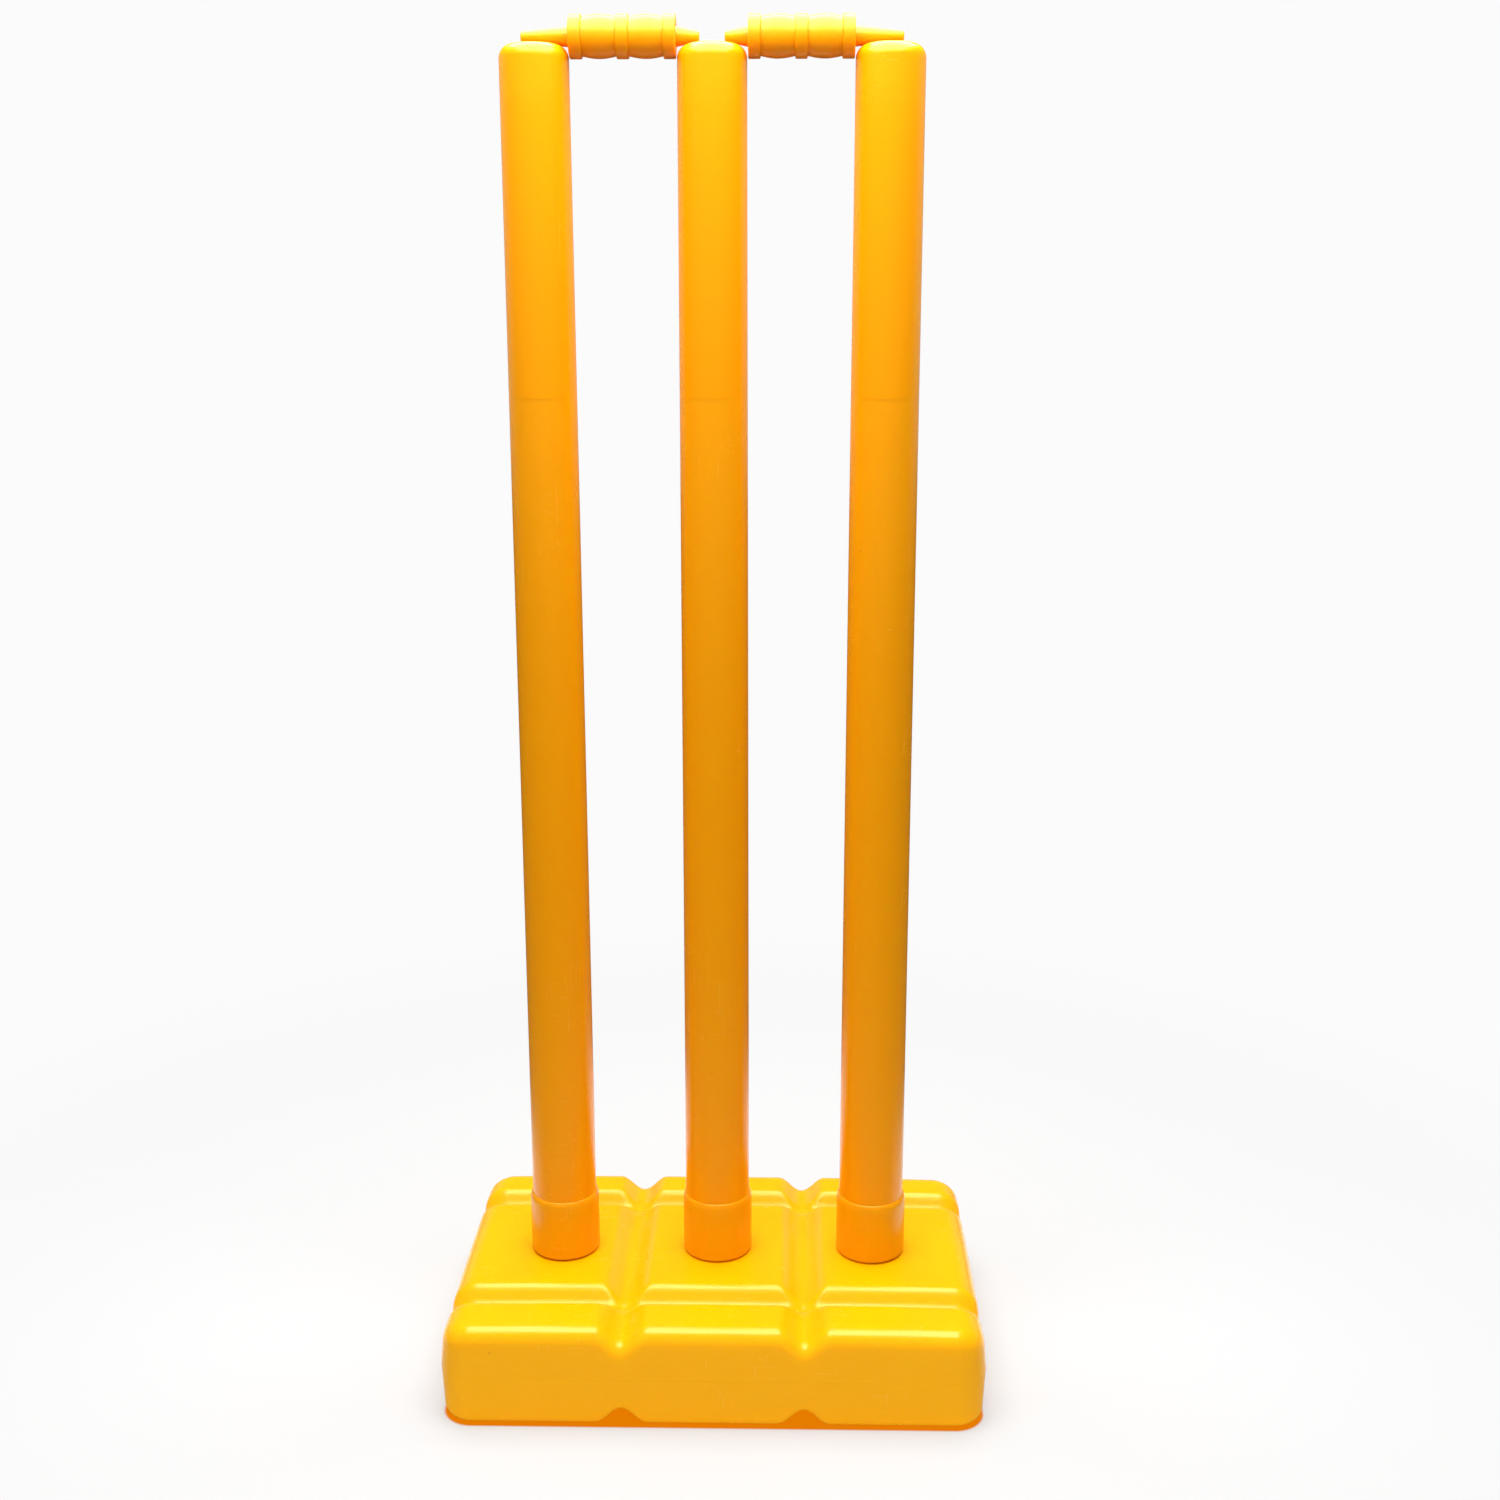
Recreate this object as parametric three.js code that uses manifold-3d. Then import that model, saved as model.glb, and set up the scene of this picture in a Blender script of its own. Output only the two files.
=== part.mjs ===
// A set of cricket stumps: three hollow stumps stand in the sockets of one hollow base,
// and two bails lie across their tops. Every piece is moulded in the same yellow plastic.
// Lengths are in millimetres. +Z is up, +X runs along the row of stumps, and -Y is the front.
// The origin is on the ground, under the middle of the base.

import * as THREE from 'three';
import { mergeVertices } from 'three/addons/utils/BufferGeometryUtils.js';
import Module from 'manifold-3d';

const wasm = await Module();
wasm.setup();

// The row of stumps
const STUMP_PITCH = 95.5;             // from the middle of one stump to the next
const ROW_FORWARD = 4;                // how far the row stands in front of the middle of the base
const SEAT_GAP = 0.3;                 // left between pieces that rest on or in each other
const CUT_OVERRUN = 4;                // how far a cutter runs past the face that it opens

// Base: the outside of the blow-moulded block
const BASE_END_MARGIN = 65;           // from the middle of an outer stump to the end of the base
const BASE_DEPTH = 205;
const BASE_HEIGHT = 63;
const BASE_CORNER_RADIUS = 19;        // seen from above
const BASE_TOP_ROUND = 14.5;
const BASE_BOTTOM_ROUND = 7;
const BASE_DRAFT_INSET = 1.2;         // how far the side leans in above and below the parting line
const BASE_PARTING_SHARE = 0.5;       // height of the parting line, as a share of the base height
const BASE_CROWN = 1.7;               // how much the top falls from the middle to the front and back
const BASE_END_FALL = 1.4;            // how much the top falls towards its two ends
const BASE_WALL = 3;

// Base: the rounded channels that cross the top and the underside
const CROSS_CHANNEL_SHARE = 0.56;     // distance from the middle, as a share of the stump pitch
const CROSS_CHANNEL_WIDTH = 31;
const CROSS_CHANNEL_DEPTH = 9.5;
const LONG_CHANNEL_SHARE = 0.587;     // distance from the middle, as a share of half the depth
const LONG_CHANNEL_WIDTH = 23;
const LONG_CHANNEL_DEPTH = 8.8;
const CHANNEL_BLEND = 4;              // how sharply two channels run together where they cross

// Sockets for the stumps, hanging like cups from the top of the base
const SOCKET_FLOOR_HEIGHT = 13;       // above the ground
const SOCKET_FLOOR_ROUND = 3;
const SOCKET_MOUTH_ROUND = 1.5;

// Filling neck in the back of the base, and its push-in plug
const NECK_DIAMETER = 20;
const NECK_LENGTH = 16;
const NECK_WALL = 3;
const PLUG_HEAD_DIAMETER = 30;
const PLUG_HEAD_THICKNESS = 3.5;
const PLUG_HEAD_ROUND = 1;
const PLUG_STEM_LENGTH = 11;
const PLUG_STEM_WALL = 2;
const PLUG_STEM_ROUND = 1;
const PRISE_SLOT_WIDTH = 8;
const PRISE_SLOT_DEPTH = 2;           // into the rim of the head

// Stump: a tapering tube above a collar, with a spigot below that fits the socket
const STUMP_HEIGHT = 710;             // from the top of the base to the top of the stump
const STUMP_TOP_DIAMETER = 37.6;
const STUMP_FOOT_DIAMETER = 39.2;     // just above the collar
const STUMP_TOP_ROUND = 7.5;
const STUMP_TOP_DOME = 0.5;
const STUMP_WALL = 2.2;
const STUMP_TOP_WALL = 5.5;
const COLLAR_DIAMETER = 42.4;
const COLLAR_HEIGHT = 38.5;
const COLLAR_SHOULDER = 4.8;          // height of the slope from the collar in to the stump
const COLLAR_EDGE_ROUND = 2;
const SPIGOT_DIAMETER = 33;
const SPIGOT_TAPER = 0.8;             // how much narrower the spigot is at its foot
const SPIGOT_FOOT_ROUND = 3;
const VENT_DIAMETER = 8;              // the hole that the moulding air came through

// Bail: a barrel with three rings, a long spigot outwards and a short one inwards
const BAIL_AXIS_ABOVE_TOP = 3.1;      // height of the bail's axis above the stump tops
const BAIL_END_CLEARANCE = 0.5;       // between the barrel and the stump beside it
const BAIL_RING_DIAMETER = 22.6;
const BAIL_RING_WIDTH = 6.6;
const BAIL_RING_BEVEL = 0.5;
const BAIL_WAIST_DIAMETER = 19.8;     // where the barrel meets a ring
const BAIL_SWELL_DIAMETER = 22.4;     // at the fullest point between two rings
const BAIL_SPIGOT_DIAMETER = 10.6;
const BAIL_TIP_BEVEL = 0.8;
const BAIL_LONG_SPIGOT = 26;
const BAIL_SHORT_SPIGOT = 12.5;

// Numbers of faces
const STUMP_SIDES = 28;
const SOCKET_SIDES = 24;
const BAIL_SIDES = 20;
const PLUG_SIDES = 24;
const SEAT_SIDES = 20;
const ROUND_STEPS = 4;
const SMALL_ROUND_STEPS = 2;
const SWELL_STEPS = 4;
const OUTSIDE_STEPS = { channel: 6, pad: 2, corner: 3, round: 3 };
const HOLLOW_STEPS = { channel: 4, pad: 1, corner: 2, round: 2 };

// Places and sizes that follow from the values above
const BASE_WIDTH = 2 * (STUMP_PITCH + BASE_END_MARGIN);
const BASE_PARTING_HEIGHT = BASE_HEIGHT * BASE_PARTING_SHARE;
const CROSS_CHANNEL_OFFSET = STUMP_PITCH * CROSS_CHANNEL_SHARE;
const LONG_CHANNEL_OFFSET = BASE_DEPTH / 2 * LONG_CHANNEL_SHARE;
const SOCKET_RADIUS = SPIGOT_DIAMETER / 2 + SEAT_GAP;
const SPIGOT_LENGTH = BASE_HEIGHT - SOCKET_FLOOR_HEIGHT;
const STUMP_SEAT_HEIGHT = BASE_HEIGHT + SEAT_GAP;
const STUMP_TOP_HEIGHT = BASE_HEIGHT + STUMP_HEIGHT;
const BAIL_AXIS_HEIGHT = STUMP_TOP_HEIGHT + BAIL_AXIS_ABOVE_TOP;
const BARREL_LENGTH = STUMP_PITCH - STUMP_TOP_DIAMETER - 2 * BAIL_END_CLEARANCE;

// Materials
const YELLOW = 0xf7b500;

function moulded(roughness) {
  return new THREE.MeshStandardMaterial({ color: YELLOW, roughness, metalness: 0 });
}

const BASE_PLASTIC = moulded(0.32);
const STUMP_PLASTIC = moulded(0.3);
const BAIL_PLASTIC = moulded(0.36);
const PLUG_PLASTIC = moulded(0.45);

// Outlines: points of a quarter round, or of any arc, between two angles in degrees

function arc(middleR, middleZ, radius, fromAngle, toAngle, steps = ROUND_STEPS) {
  const points = [];
  for (let step = 0; step <= steps; step += 1) {
    const share = step / steps;
    const angle = THREE.MathUtils.degToRad(THREE.MathUtils.lerp(fromAngle, toAngle, share));
    points.push([middleR + radius * Math.cos(angle), middleZ + radius * Math.sin(angle)]);
  }
  return points;
}

// Revolve: the outline is a list of [radius, height], and the result stands along +Z

function revolve(outline, sides) {
  const points = outline.map(([radius, height]) => new THREE.Vector2(radius, height));
  return new THREE.LatheGeometry(points, sides).rotateX(Math.PI / 2);
}

// Solids: to and from the library that joins and cuts

function solidFrom(geometry) {
  const bare = geometry.clone();
  bare.deleteAttribute('normal');
  bare.deleteAttribute('uv');
  const merged = mergeVertices(bare);
  const corners = merged.index.array;
  const kept = [];
  for (let first = 0; first < corners.length; first += 3) {
    const [a, b, c] = corners.slice(first, first + 3);
    if (a !== b && b !== c && c !== a) {
      kept.push(a, b, c);
    }
  }
  return new wasm.Manifold(new wasm.Mesh({
    numProp: 3,
    vertProperties: new Float32Array(merged.attributes.position.array),
    triVerts: new Uint32Array(kept),
  }));
}

function geometryFrom(solid) {
  const mesh = solid.getMesh();
  const geometry = new THREE.BufferGeometry();
  geometry.setAttribute('position', new THREE.BufferAttribute(mesh.vertProperties, 3));
  geometry.setIndex(new THREE.BufferAttribute(mesh.triVerts, 1));
  geometry.computeVertexNormals();
  return geometry;
}

// The moulded block: one formula gives the outside of the base and, a wall inside it, its hollow

function valley(share) {
  return Math.abs(share) < 1 ? (1 + Math.cos(Math.PI * share)) / 2 : 0;
}

function channelDepth(x, y, skin) {
  const crossHalf = CROSS_CHANNEL_WIDTH / 2 + skin;
  const longHalf = LONG_CHANNEL_WIDTH / 2 + skin;
  const cross = CROSS_CHANNEL_DEPTH * valley((Math.abs(x) - CROSS_CHANNEL_OFFSET) / crossHalf);
  const long = LONG_CHANNEL_DEPTH * valley((Math.abs(y) - LONG_CHANNEL_OFFSET) / longHalf);
  return (cross ** CHANNEL_BLEND + long ** CHANNEL_BLEND) ** (1 / CHANNEL_BLEND);
}

function topHeight(x, y, skin) {
  const crownFall = BASE_CROWN * (2 * y / BASE_DEPTH) ** 2;
  const endFall = BASE_END_FALL * (2 * x / BASE_WIDTH) ** 4;
  return BASE_HEIGHT - skin - crownFall - endFall - channelDepth(x, y, skin);
}

function bottomHeight(x, y, skin) {
  return skin + channelDepth(x, y, skin);
}

// Grid lines along one axis: close together across a channel, wide apart over the flat pads

function gridLines(reach, channelOffset, channelWidth, steps) {
  const inner = channelOffset - channelWidth / 2;
  const outer = channelOffset + channelWidth / 2;
  const stops = [
    [-reach, steps.pad],
    [-outer, steps.channel],
    [-inner, steps.pad],
    [inner, steps.channel],
    [outer, steps.pad],
  ];
  const lines = [];
  stops.forEach(([from, count], index) => {
    const to = index + 1 < stops.length ? stops[index + 1][0] : reach;
    for (let step = 0; step < count; step += 1) {
      const line = THREE.MathUtils.lerp(from, to, step / count);
      lines.push(THREE.MathUtils.clamp(line, -reach, reach));
    }
  });
  lines.push(reach);
  return lines;
}

// Each line is a place on the straight part of a side, with a share of the corner's radius beyond it

function withCorners(lines, steps) {
  const marks = lines.map((at) => ({ at, share: 0 }));
  for (let step = 1; step <= steps.corner; step += 1) {
    marks.unshift({ at: lines[0], share: -step / steps.corner });
    marks.push({ at: lines[lines.length - 1], share: step / steps.corner });
  }
  return marks;
}

function planPoint(markX, markY, radius) {
  const bulgeX = markX.share * Math.sqrt(1 - markY.share ** 2 / 2);
  const bulgeY = markY.share * Math.sqrt(1 - markX.share ** 2 / 2);
  return [markX.at + radius * bulgeX, markY.at + radius * bulgeY];
}

// The rings from the top edge down to the bottom edge, each a list of insets and heights

function edgeRings(skin, steps) {
  const topRound = BASE_TOP_ROUND - skin;
  const bottomRound = BASE_BOTTOM_ROUND - skin;
  const rings = [];
  for (let step = 0; step <= steps.round; step += 1) {
    const angle = Math.PI / 2 * step / steps.round;
    rings.push({
      inset: BASE_DRAFT_INSET + topRound * (1 - Math.sin(angle)),
      height: (x, y) => topHeight(x, y, skin) - topRound * (1 - Math.cos(angle)),
    });
  }
  rings.push({ inset: 0, height: () => BASE_PARTING_HEIGHT });
  for (let step = steps.round; step >= 0; step -= 1) {
    const angle = Math.PI / 2 * step / steps.round;
    rings.push({
      inset: BASE_DRAFT_INSET + bottomRound * (1 - Math.sin(angle)),
      height: (x, y) => bottomHeight(x, y, skin) + bottomRound * (1 - Math.cos(angle)),
    });
  }
  return rings;
}

function mouldedBlock(skin, steps) {
  const reachX = BASE_WIDTH / 2 - BASE_CORNER_RADIUS;
  const reachY = BASE_DEPTH / 2 - BASE_CORNER_RADIUS;
  const linesX = gridLines(reachX, CROSS_CHANNEL_OFFSET, CROSS_CHANNEL_WIDTH + 2 * skin, steps);
  const linesY = gridLines(reachY, LONG_CHANNEL_OFFSET, LONG_CHANNEL_WIDTH + 2 * skin, steps);
  const marksX = withCorners(linesX, steps);
  const marksY = withCorners(linesY, steps);
  const countX = marksX.length;
  const countY = marksY.length;
  const positions = [];
  const faces = [];

  function addPoint(column, row, ring) {
    const radius = BASE_CORNER_RADIUS - skin - ring.inset;
    const [x, y] = planPoint(marksX[column], marksY[row], radius);
    positions.push(x, y, ring.height(x, y));
    return positions.length / 3 - 1;
  }

  function addFace(ring) {
    return marksY.map((_, row) => marksX.map((__, column) => addPoint(column, row, ring)));
  }

  function addQuad(a, b, c, d, flip) {
    faces.push(...(flip ? [a, b, d, b, c, d] : [a, b, c, a, c, d]));
  }

  const edge = [];
  for (let column = 0; column < countX - 1; column += 1) edge.push([column, 0]);
  for (let row = 0; row < countY - 1; row += 1) edge.push([countX - 1, row]);
  for (let column = countX - 1; column > 0; column -= 1) edge.push([column, countY - 1]);
  for (let row = countY - 1; row > 0; row -= 1) edge.push([0, row]);

  const rings = edgeRings(skin, steps);
  const top = addFace(rings[0]);
  const bottom = addFace(rings[rings.length - 1]);
  for (let row = 0; row < countY - 1; row += 1) {
    for (let column = 0; column < countX - 1; column += 1) {
      const flip = (column < (countX - 1) / 2) === (row < (countY - 1) / 2);
      addQuad(top[row][column], top[row][column + 1], top[row + 1][column + 1],
        top[row + 1][column], flip);
      addQuad(bottom[row][column], bottom[row + 1][column], bottom[row + 1][column + 1],
        bottom[row][column + 1], flip);
    }
  }

  const loops = rings.map((ring, index) => {
    if (index === 0) return edge.map(([column, row]) => top[row][column]);
    if (index === rings.length - 1) return edge.map(([column, row]) => bottom[row][column]);
    return edge.map(([column, row]) => addPoint(column, row, ring));
  });
  for (let index = 0; index < loops.length - 1; index += 1) {
    const upper = loops[index];
    const lower = loops[index + 1];
    upper.forEach((corner, place) => {
      const next = (place + 1) % upper.length;
      addQuad(corner, lower[place], lower[next], upper[next], false);
    });
  }

  const geometry = new THREE.BufferGeometry();
  geometry.setAttribute('position', new THREE.Float32BufferAttribute(positions, 3));
  geometry.setIndex(faces);
  return geometry;
}

// Base shell: the block less its hollow, with the socket cups and the filling neck left standing

function socketCup() {
  const radius = SOCKET_RADIUS + BASE_WALL;
  const foot = SOCKET_FLOOR_HEIGHT - BASE_WALL;
  return revolve([
    [0, foot],
    ...arc(radius - SOCKET_FLOOR_ROUND, foot + SOCKET_FLOOR_ROUND, SOCKET_FLOOR_ROUND,
      -90, 0, SMALL_ROUND_STEPS),
    [radius, BASE_HEIGHT],
    [0, BASE_HEIGHT],
  ], SOCKET_SIDES);
}

function socketBore() {
  const floor = SOCKET_FLOOR_HEIGHT - SEAT_GAP;
  const mouthMiddle = SOCKET_RADIUS + SOCKET_MOUTH_ROUND;
  const mouth = arc(mouthMiddle, BASE_HEIGHT - SOCKET_MOUTH_ROUND, SOCKET_MOUTH_ROUND,
    180, 90, SMALL_ROUND_STEPS);
  return revolve([
    [0, floor],
    ...arc(SOCKET_RADIUS - SOCKET_FLOOR_ROUND, floor + SOCKET_FLOOR_ROUND,
      SOCKET_FLOOR_ROUND, -90, 0, SMALL_ROUND_STEPS),
    ...mouth,
    [mouthMiddle, BASE_HEIGHT + CUT_OVERRUN],
    [0, BASE_HEIGHT + CUT_OVERRUN],
  ], SOCKET_SIDES);
}

const PLUG_RECESS_RADIUS = PLUG_HEAD_DIAMETER / 2 + SEAT_GAP;
const PLUG_FACE_Y = BASE_DEPTH / 2 - BASE_DRAFT_INSET;
const PLUG_SEAT_Y = PLUG_FACE_Y - PLUG_HEAD_THICKNESS - SEAT_GAP;

// A round piece along Y at the neck: its outline is a list of [radius, y]

function atNeck(outline) {
  const geometry = revolve(outline.map(([radius, y]) => [radius, -y]), PLUG_SIDES);
  return geometry.rotateX(Math.PI / 2).translate(0, 0, BASE_PARTING_HEIGHT);
}

function neckBoss() {
  const radius = PLUG_RECESS_RADIUS + NECK_WALL;
  return atNeck([
    [0, BASE_DEPTH / 2],
    [radius, BASE_DEPTH / 2],
    [radius, PLUG_SEAT_Y - BASE_WALL],
    [NECK_DIAMETER / 2 + NECK_WALL, PLUG_SEAT_Y - BASE_WALL],
    [NECK_DIAMETER / 2 + NECK_WALL, PLUG_SEAT_Y - NECK_LENGTH],
    [0, PLUG_SEAT_Y - NECK_LENGTH],
  ]);
}

function neckBore() {
  return atNeck([
    [0, BASE_DEPTH / 2 + CUT_OVERRUN],
    [PLUG_RECESS_RADIUS, BASE_DEPTH / 2 + CUT_OVERRUN],
    [PLUG_RECESS_RADIUS, PLUG_SEAT_Y],
    [NECK_DIAMETER / 2, PLUG_SEAT_Y],
    [NECK_DIAMETER / 2, PLUG_SEAT_Y - NECK_LENGTH - CUT_OVERRUN],
    [0, PLUG_SEAT_Y - NECK_LENGTH - CUT_OVERRUN],
  ]);
}

const SOCKET_PLACES = [-STUMP_PITCH, 0, STUMP_PITCH];
const ROW_Y = -ROW_FORWARD;

function baseShell() {
  let hollow = solidFrom(mouldedBlock(BASE_WALL, HOLLOW_STEPS));
  hollow = hollow.subtract(solidFrom(neckBoss()));
  for (const x of SOCKET_PLACES) {
    hollow = hollow.subtract(solidFrom(socketCup().translate(x, ROW_Y, 0)));
  }
  let shell = solidFrom(mouldedBlock(0, OUTSIDE_STEPS)).subtract(hollow);
  shell = shell.subtract(solidFrom(neckBore()));
  for (const x of SOCKET_PLACES) {
    shell = shell.subtract(solidFrom(socketBore().translate(x, ROW_Y, 0)));
  }
  return geometryFrom(shell);
}

// Fill plug: a hollow push-in bung whose head lies flush in the back of the base

function fillPlug() {
  const headRadius = PLUG_HEAD_DIAMETER / 2;
  const headBack = PLUG_FACE_Y - PLUG_HEAD_THICKNESS;
  const stemRadius = NECK_DIAMETER / 2 - SEAT_GAP;
  const stemEnd = headBack - PLUG_STEM_LENGTH;
  const rim = arc(headRadius - PLUG_HEAD_ROUND, PLUG_FACE_Y - PLUG_HEAD_ROUND,
    PLUG_HEAD_ROUND, 90, 0, SMALL_ROUND_STEPS);
  const body = solidFrom(atNeck([
    [0, PLUG_FACE_Y],
    ...rim,
    [headRadius, headBack],
    [stemRadius, headBack],
    ...arc(stemRadius - PLUG_STEM_ROUND, stemEnd + PLUG_STEM_ROUND, PLUG_STEM_ROUND,
      0, -90, SMALL_ROUND_STEPS),
    [stemRadius - PLUG_STEM_WALL, stemEnd],
    [stemRadius - PLUG_STEM_WALL, headBack],
    [0, headBack],
  ]));
  const slot = new THREE.BoxGeometry(PRISE_SLOT_WIDTH, PLUG_HEAD_THICKNESS, PRISE_SLOT_DEPTH);
  const slotHeight = BASE_PARTING_HEIGHT + headRadius;
  slot.translate(0, PLUG_FACE_Y, slotHeight - PRISE_SLOT_DEPTH / 2);
  return geometryFrom(body.subtract(solidFrom(slot)));
}

// Stump: the outside and the inside are one closed outline, then the bail seat is cut

function stumpOutline() {
  const top = STUMP_HEIGHT - SEAT_GAP;
  const topRadius = STUMP_TOP_DIAMETER / 2;
  const footRadius = STUMP_FOOT_DIAMETER / 2;
  const collarRadius = COLLAR_DIAMETER / 2;
  const spigotRadius = SPIGOT_DIAMETER / 2;
  const spigotFoot = -SPIGOT_LENGTH;
  const spigotFootRadius = (SPIGOT_DIAMETER - SPIGOT_TAPER) / 2;
  const shoulder = top - STUMP_TOP_DOME - STUMP_TOP_ROUND;
  const collarTop = COLLAR_HEIGHT - COLLAR_SHOULDER;
  const innerRound = STUMP_TOP_ROUND - STUMP_WALL;
  const innerShoulder = top - STUMP_TOP_WALL - innerRound;
  const outside = [
    [VENT_DIAMETER / 2, spigotFoot],
    ...arc(spigotFootRadius - SPIGOT_FOOT_ROUND, spigotFoot + SPIGOT_FOOT_ROUND,
      SPIGOT_FOOT_ROUND, -90, 0, SMALL_ROUND_STEPS),
    [spigotRadius, 0],
    ...arc(collarRadius - COLLAR_EDGE_ROUND, COLLAR_EDGE_ROUND, COLLAR_EDGE_ROUND,
      -90, 0, SMALL_ROUND_STEPS),
    [collarRadius, collarTop],
    [footRadius, COLLAR_HEIGHT],
    ...arc(topRadius - STUMP_TOP_ROUND, shoulder, STUMP_TOP_ROUND, 0, 90),
    [0, top],
  ];
  const inside = [
    [0, top - STUMP_TOP_WALL],
    ...arc(topRadius - STUMP_WALL - innerRound, innerShoulder, innerRound,
      90, 0, SMALL_ROUND_STEPS),
    [footRadius - STUMP_WALL, COLLAR_HEIGHT],
    [collarRadius - STUMP_WALL, collarTop],
    [collarRadius - STUMP_WALL, STUMP_WALL],
    [spigotRadius - STUMP_WALL, STUMP_WALL],
    [spigotFootRadius - STUMP_WALL, spigotFoot + STUMP_WALL],
    [VENT_DIAMETER / 2, spigotFoot + STUMP_WALL],
    [VENT_DIAMETER / 2, spigotFoot],
  ];
  return [...outside, ...inside];
}

function bailSeat() {
  const radius = BAIL_SPIGOT_DIAMETER / 2 + SEAT_GAP;
  const length = STUMP_TOP_DIAMETER + CUT_OVERRUN;
  const cutter = new THREE.CylinderGeometry(radius, radius, length, SEAT_SIDES);
  cutter.rotateZ(Math.PI / 2);
  return cutter.translate(0, 0, STUMP_HEIGHT - SEAT_GAP + BAIL_AXIS_ABOVE_TOP);
}

function stump() {
  const tube = solidFrom(revolve(stumpOutline(), STUMP_SIDES));
  return geometryFrom(tube.subtract(solidFrom(bailSeat())));
}

// Bail: one outline from the long tip to the short tip, revolved and laid along X

function swelling(from, to) {
  const points = [];
  for (let step = 0; step <= SWELL_STEPS; step += 1) {
    const share = step / SWELL_STEPS;
    const fullness = Math.sin(Math.PI * share);
    const diameter = THREE.MathUtils.lerp(BAIL_WAIST_DIAMETER, BAIL_SWELL_DIAMETER, fullness);
    points.push([diameter / 2, THREE.MathUtils.lerp(from, to, share)]);
  }
  return points;
}

function ring(from) {
  const radius = BAIL_RING_DIAMETER / 2;
  const to = from + BAIL_RING_WIDTH;
  return [
    [radius - BAIL_RING_BEVEL, from],
    [radius, from + BAIL_RING_BEVEL],
    [radius, to - BAIL_RING_BEVEL],
    [radius - BAIL_RING_BEVEL, to],
  ];
}

function bail() {
  const barrelEnd = BARREL_LENGTH / 2;
  const spigotRadius = BAIL_SPIGOT_DIAMETER / 2;
  const longTip = -barrelEnd - BAIL_LONG_SPIGOT;
  const shortTip = barrelEnd + BAIL_SHORT_SPIGOT;
  const outline = [
    [0, longTip],
    [spigotRadius - BAIL_TIP_BEVEL, longTip],
    [spigotRadius, longTip + BAIL_TIP_BEVEL],
    [spigotRadius, -barrelEnd],
    ...ring(-barrelEnd),
    ...swelling(-barrelEnd + BAIL_RING_WIDTH, -BAIL_RING_WIDTH / 2),
    ...ring(-BAIL_RING_WIDTH / 2),
    ...swelling(BAIL_RING_WIDTH / 2, barrelEnd - BAIL_RING_WIDTH),
    ...ring(barrelEnd - BAIL_RING_WIDTH),
    [spigotRadius, barrelEnd],
    [spigotRadius, shortTip - BAIL_TIP_BEVEL],
    [spigotRadius - BAIL_TIP_BEVEL, shortTip],
    [0, shortTip],
  ];
  return revolve(outline, BAIL_SIDES).rotateY(Math.PI / 2);
}

// The set, put together

function piece(name, geometry, material) {
  const mesh = new THREE.Mesh(geometry, material);
  mesh.name = name;
  return mesh;
}

const cricketStumps = new THREE.Group();
cricketStumps.add(piece('base_shell', baseShell(), BASE_PLASTIC));
cricketStumps.add(piece('fill_plug', fillPlug(), PLUG_PLASTIC));

['stump_left', 'stump_middle', 'stump_right'].forEach((name, index) => {
  const standing = piece(name, stump(), STUMP_PLASTIC);
  standing.position.set(SOCKET_PLACES[index], ROW_Y, STUMP_SEAT_HEIGHT);
  cricketStumps.add(standing);
});

const bailLeft = piece('bail_left', bail(), BAIL_PLASTIC);
bailLeft.position.set(-STUMP_PITCH / 2, ROW_Y, BAIL_AXIS_HEIGHT);
cricketStumps.add(bailLeft);

const bailRight = piece('bail_right', bail(), BAIL_PLASTIC);
bailRight.position.set(STUMP_PITCH / 2, ROW_Y, BAIL_AXIS_HEIGHT);
bailRight.rotation.z = Math.PI;
cricketStumps.add(bailRight);

export default cricketStumps;
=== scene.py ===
# %% [markdown]
# A plastic cricket wicket
#
# The wicket stands by itself: three hollow stumps plug into one hollow base, and two bails lie
# across their tops. All of it is moulded in the same golden polyethylene, so the lesson is about
# smooth moulded forms and about one plastic that looks right in strong soft light.
#
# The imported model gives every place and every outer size. What is written here as a value is
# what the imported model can't tell: how deep a channel is, or how round an edge.

# %% Load the frame
import math

import bpy
import numpy as np
from mathutils import Matrix, Vector


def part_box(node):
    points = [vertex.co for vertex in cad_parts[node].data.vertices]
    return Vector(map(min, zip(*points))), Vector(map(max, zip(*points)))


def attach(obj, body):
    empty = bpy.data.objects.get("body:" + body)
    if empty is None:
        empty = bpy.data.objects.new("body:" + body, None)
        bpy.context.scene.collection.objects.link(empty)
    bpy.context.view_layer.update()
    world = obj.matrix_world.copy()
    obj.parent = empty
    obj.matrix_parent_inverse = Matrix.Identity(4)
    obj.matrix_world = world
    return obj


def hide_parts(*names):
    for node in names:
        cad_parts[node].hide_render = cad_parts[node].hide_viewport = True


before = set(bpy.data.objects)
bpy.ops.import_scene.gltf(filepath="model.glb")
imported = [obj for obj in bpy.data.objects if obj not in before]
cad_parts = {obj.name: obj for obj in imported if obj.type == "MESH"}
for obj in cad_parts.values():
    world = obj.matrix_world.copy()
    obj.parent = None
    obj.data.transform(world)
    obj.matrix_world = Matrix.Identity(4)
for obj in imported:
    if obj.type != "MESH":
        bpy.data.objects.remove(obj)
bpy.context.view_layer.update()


def mm(value):
    """A length in millimetres, in Blender's metres."""
    return value / 1000


base_low, base_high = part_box("base_shell")
stump_low, stump_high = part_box("stump_middle")
bail_low, bail_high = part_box("bail_left")
plug_low, plug_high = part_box("fill_plug")

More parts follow.
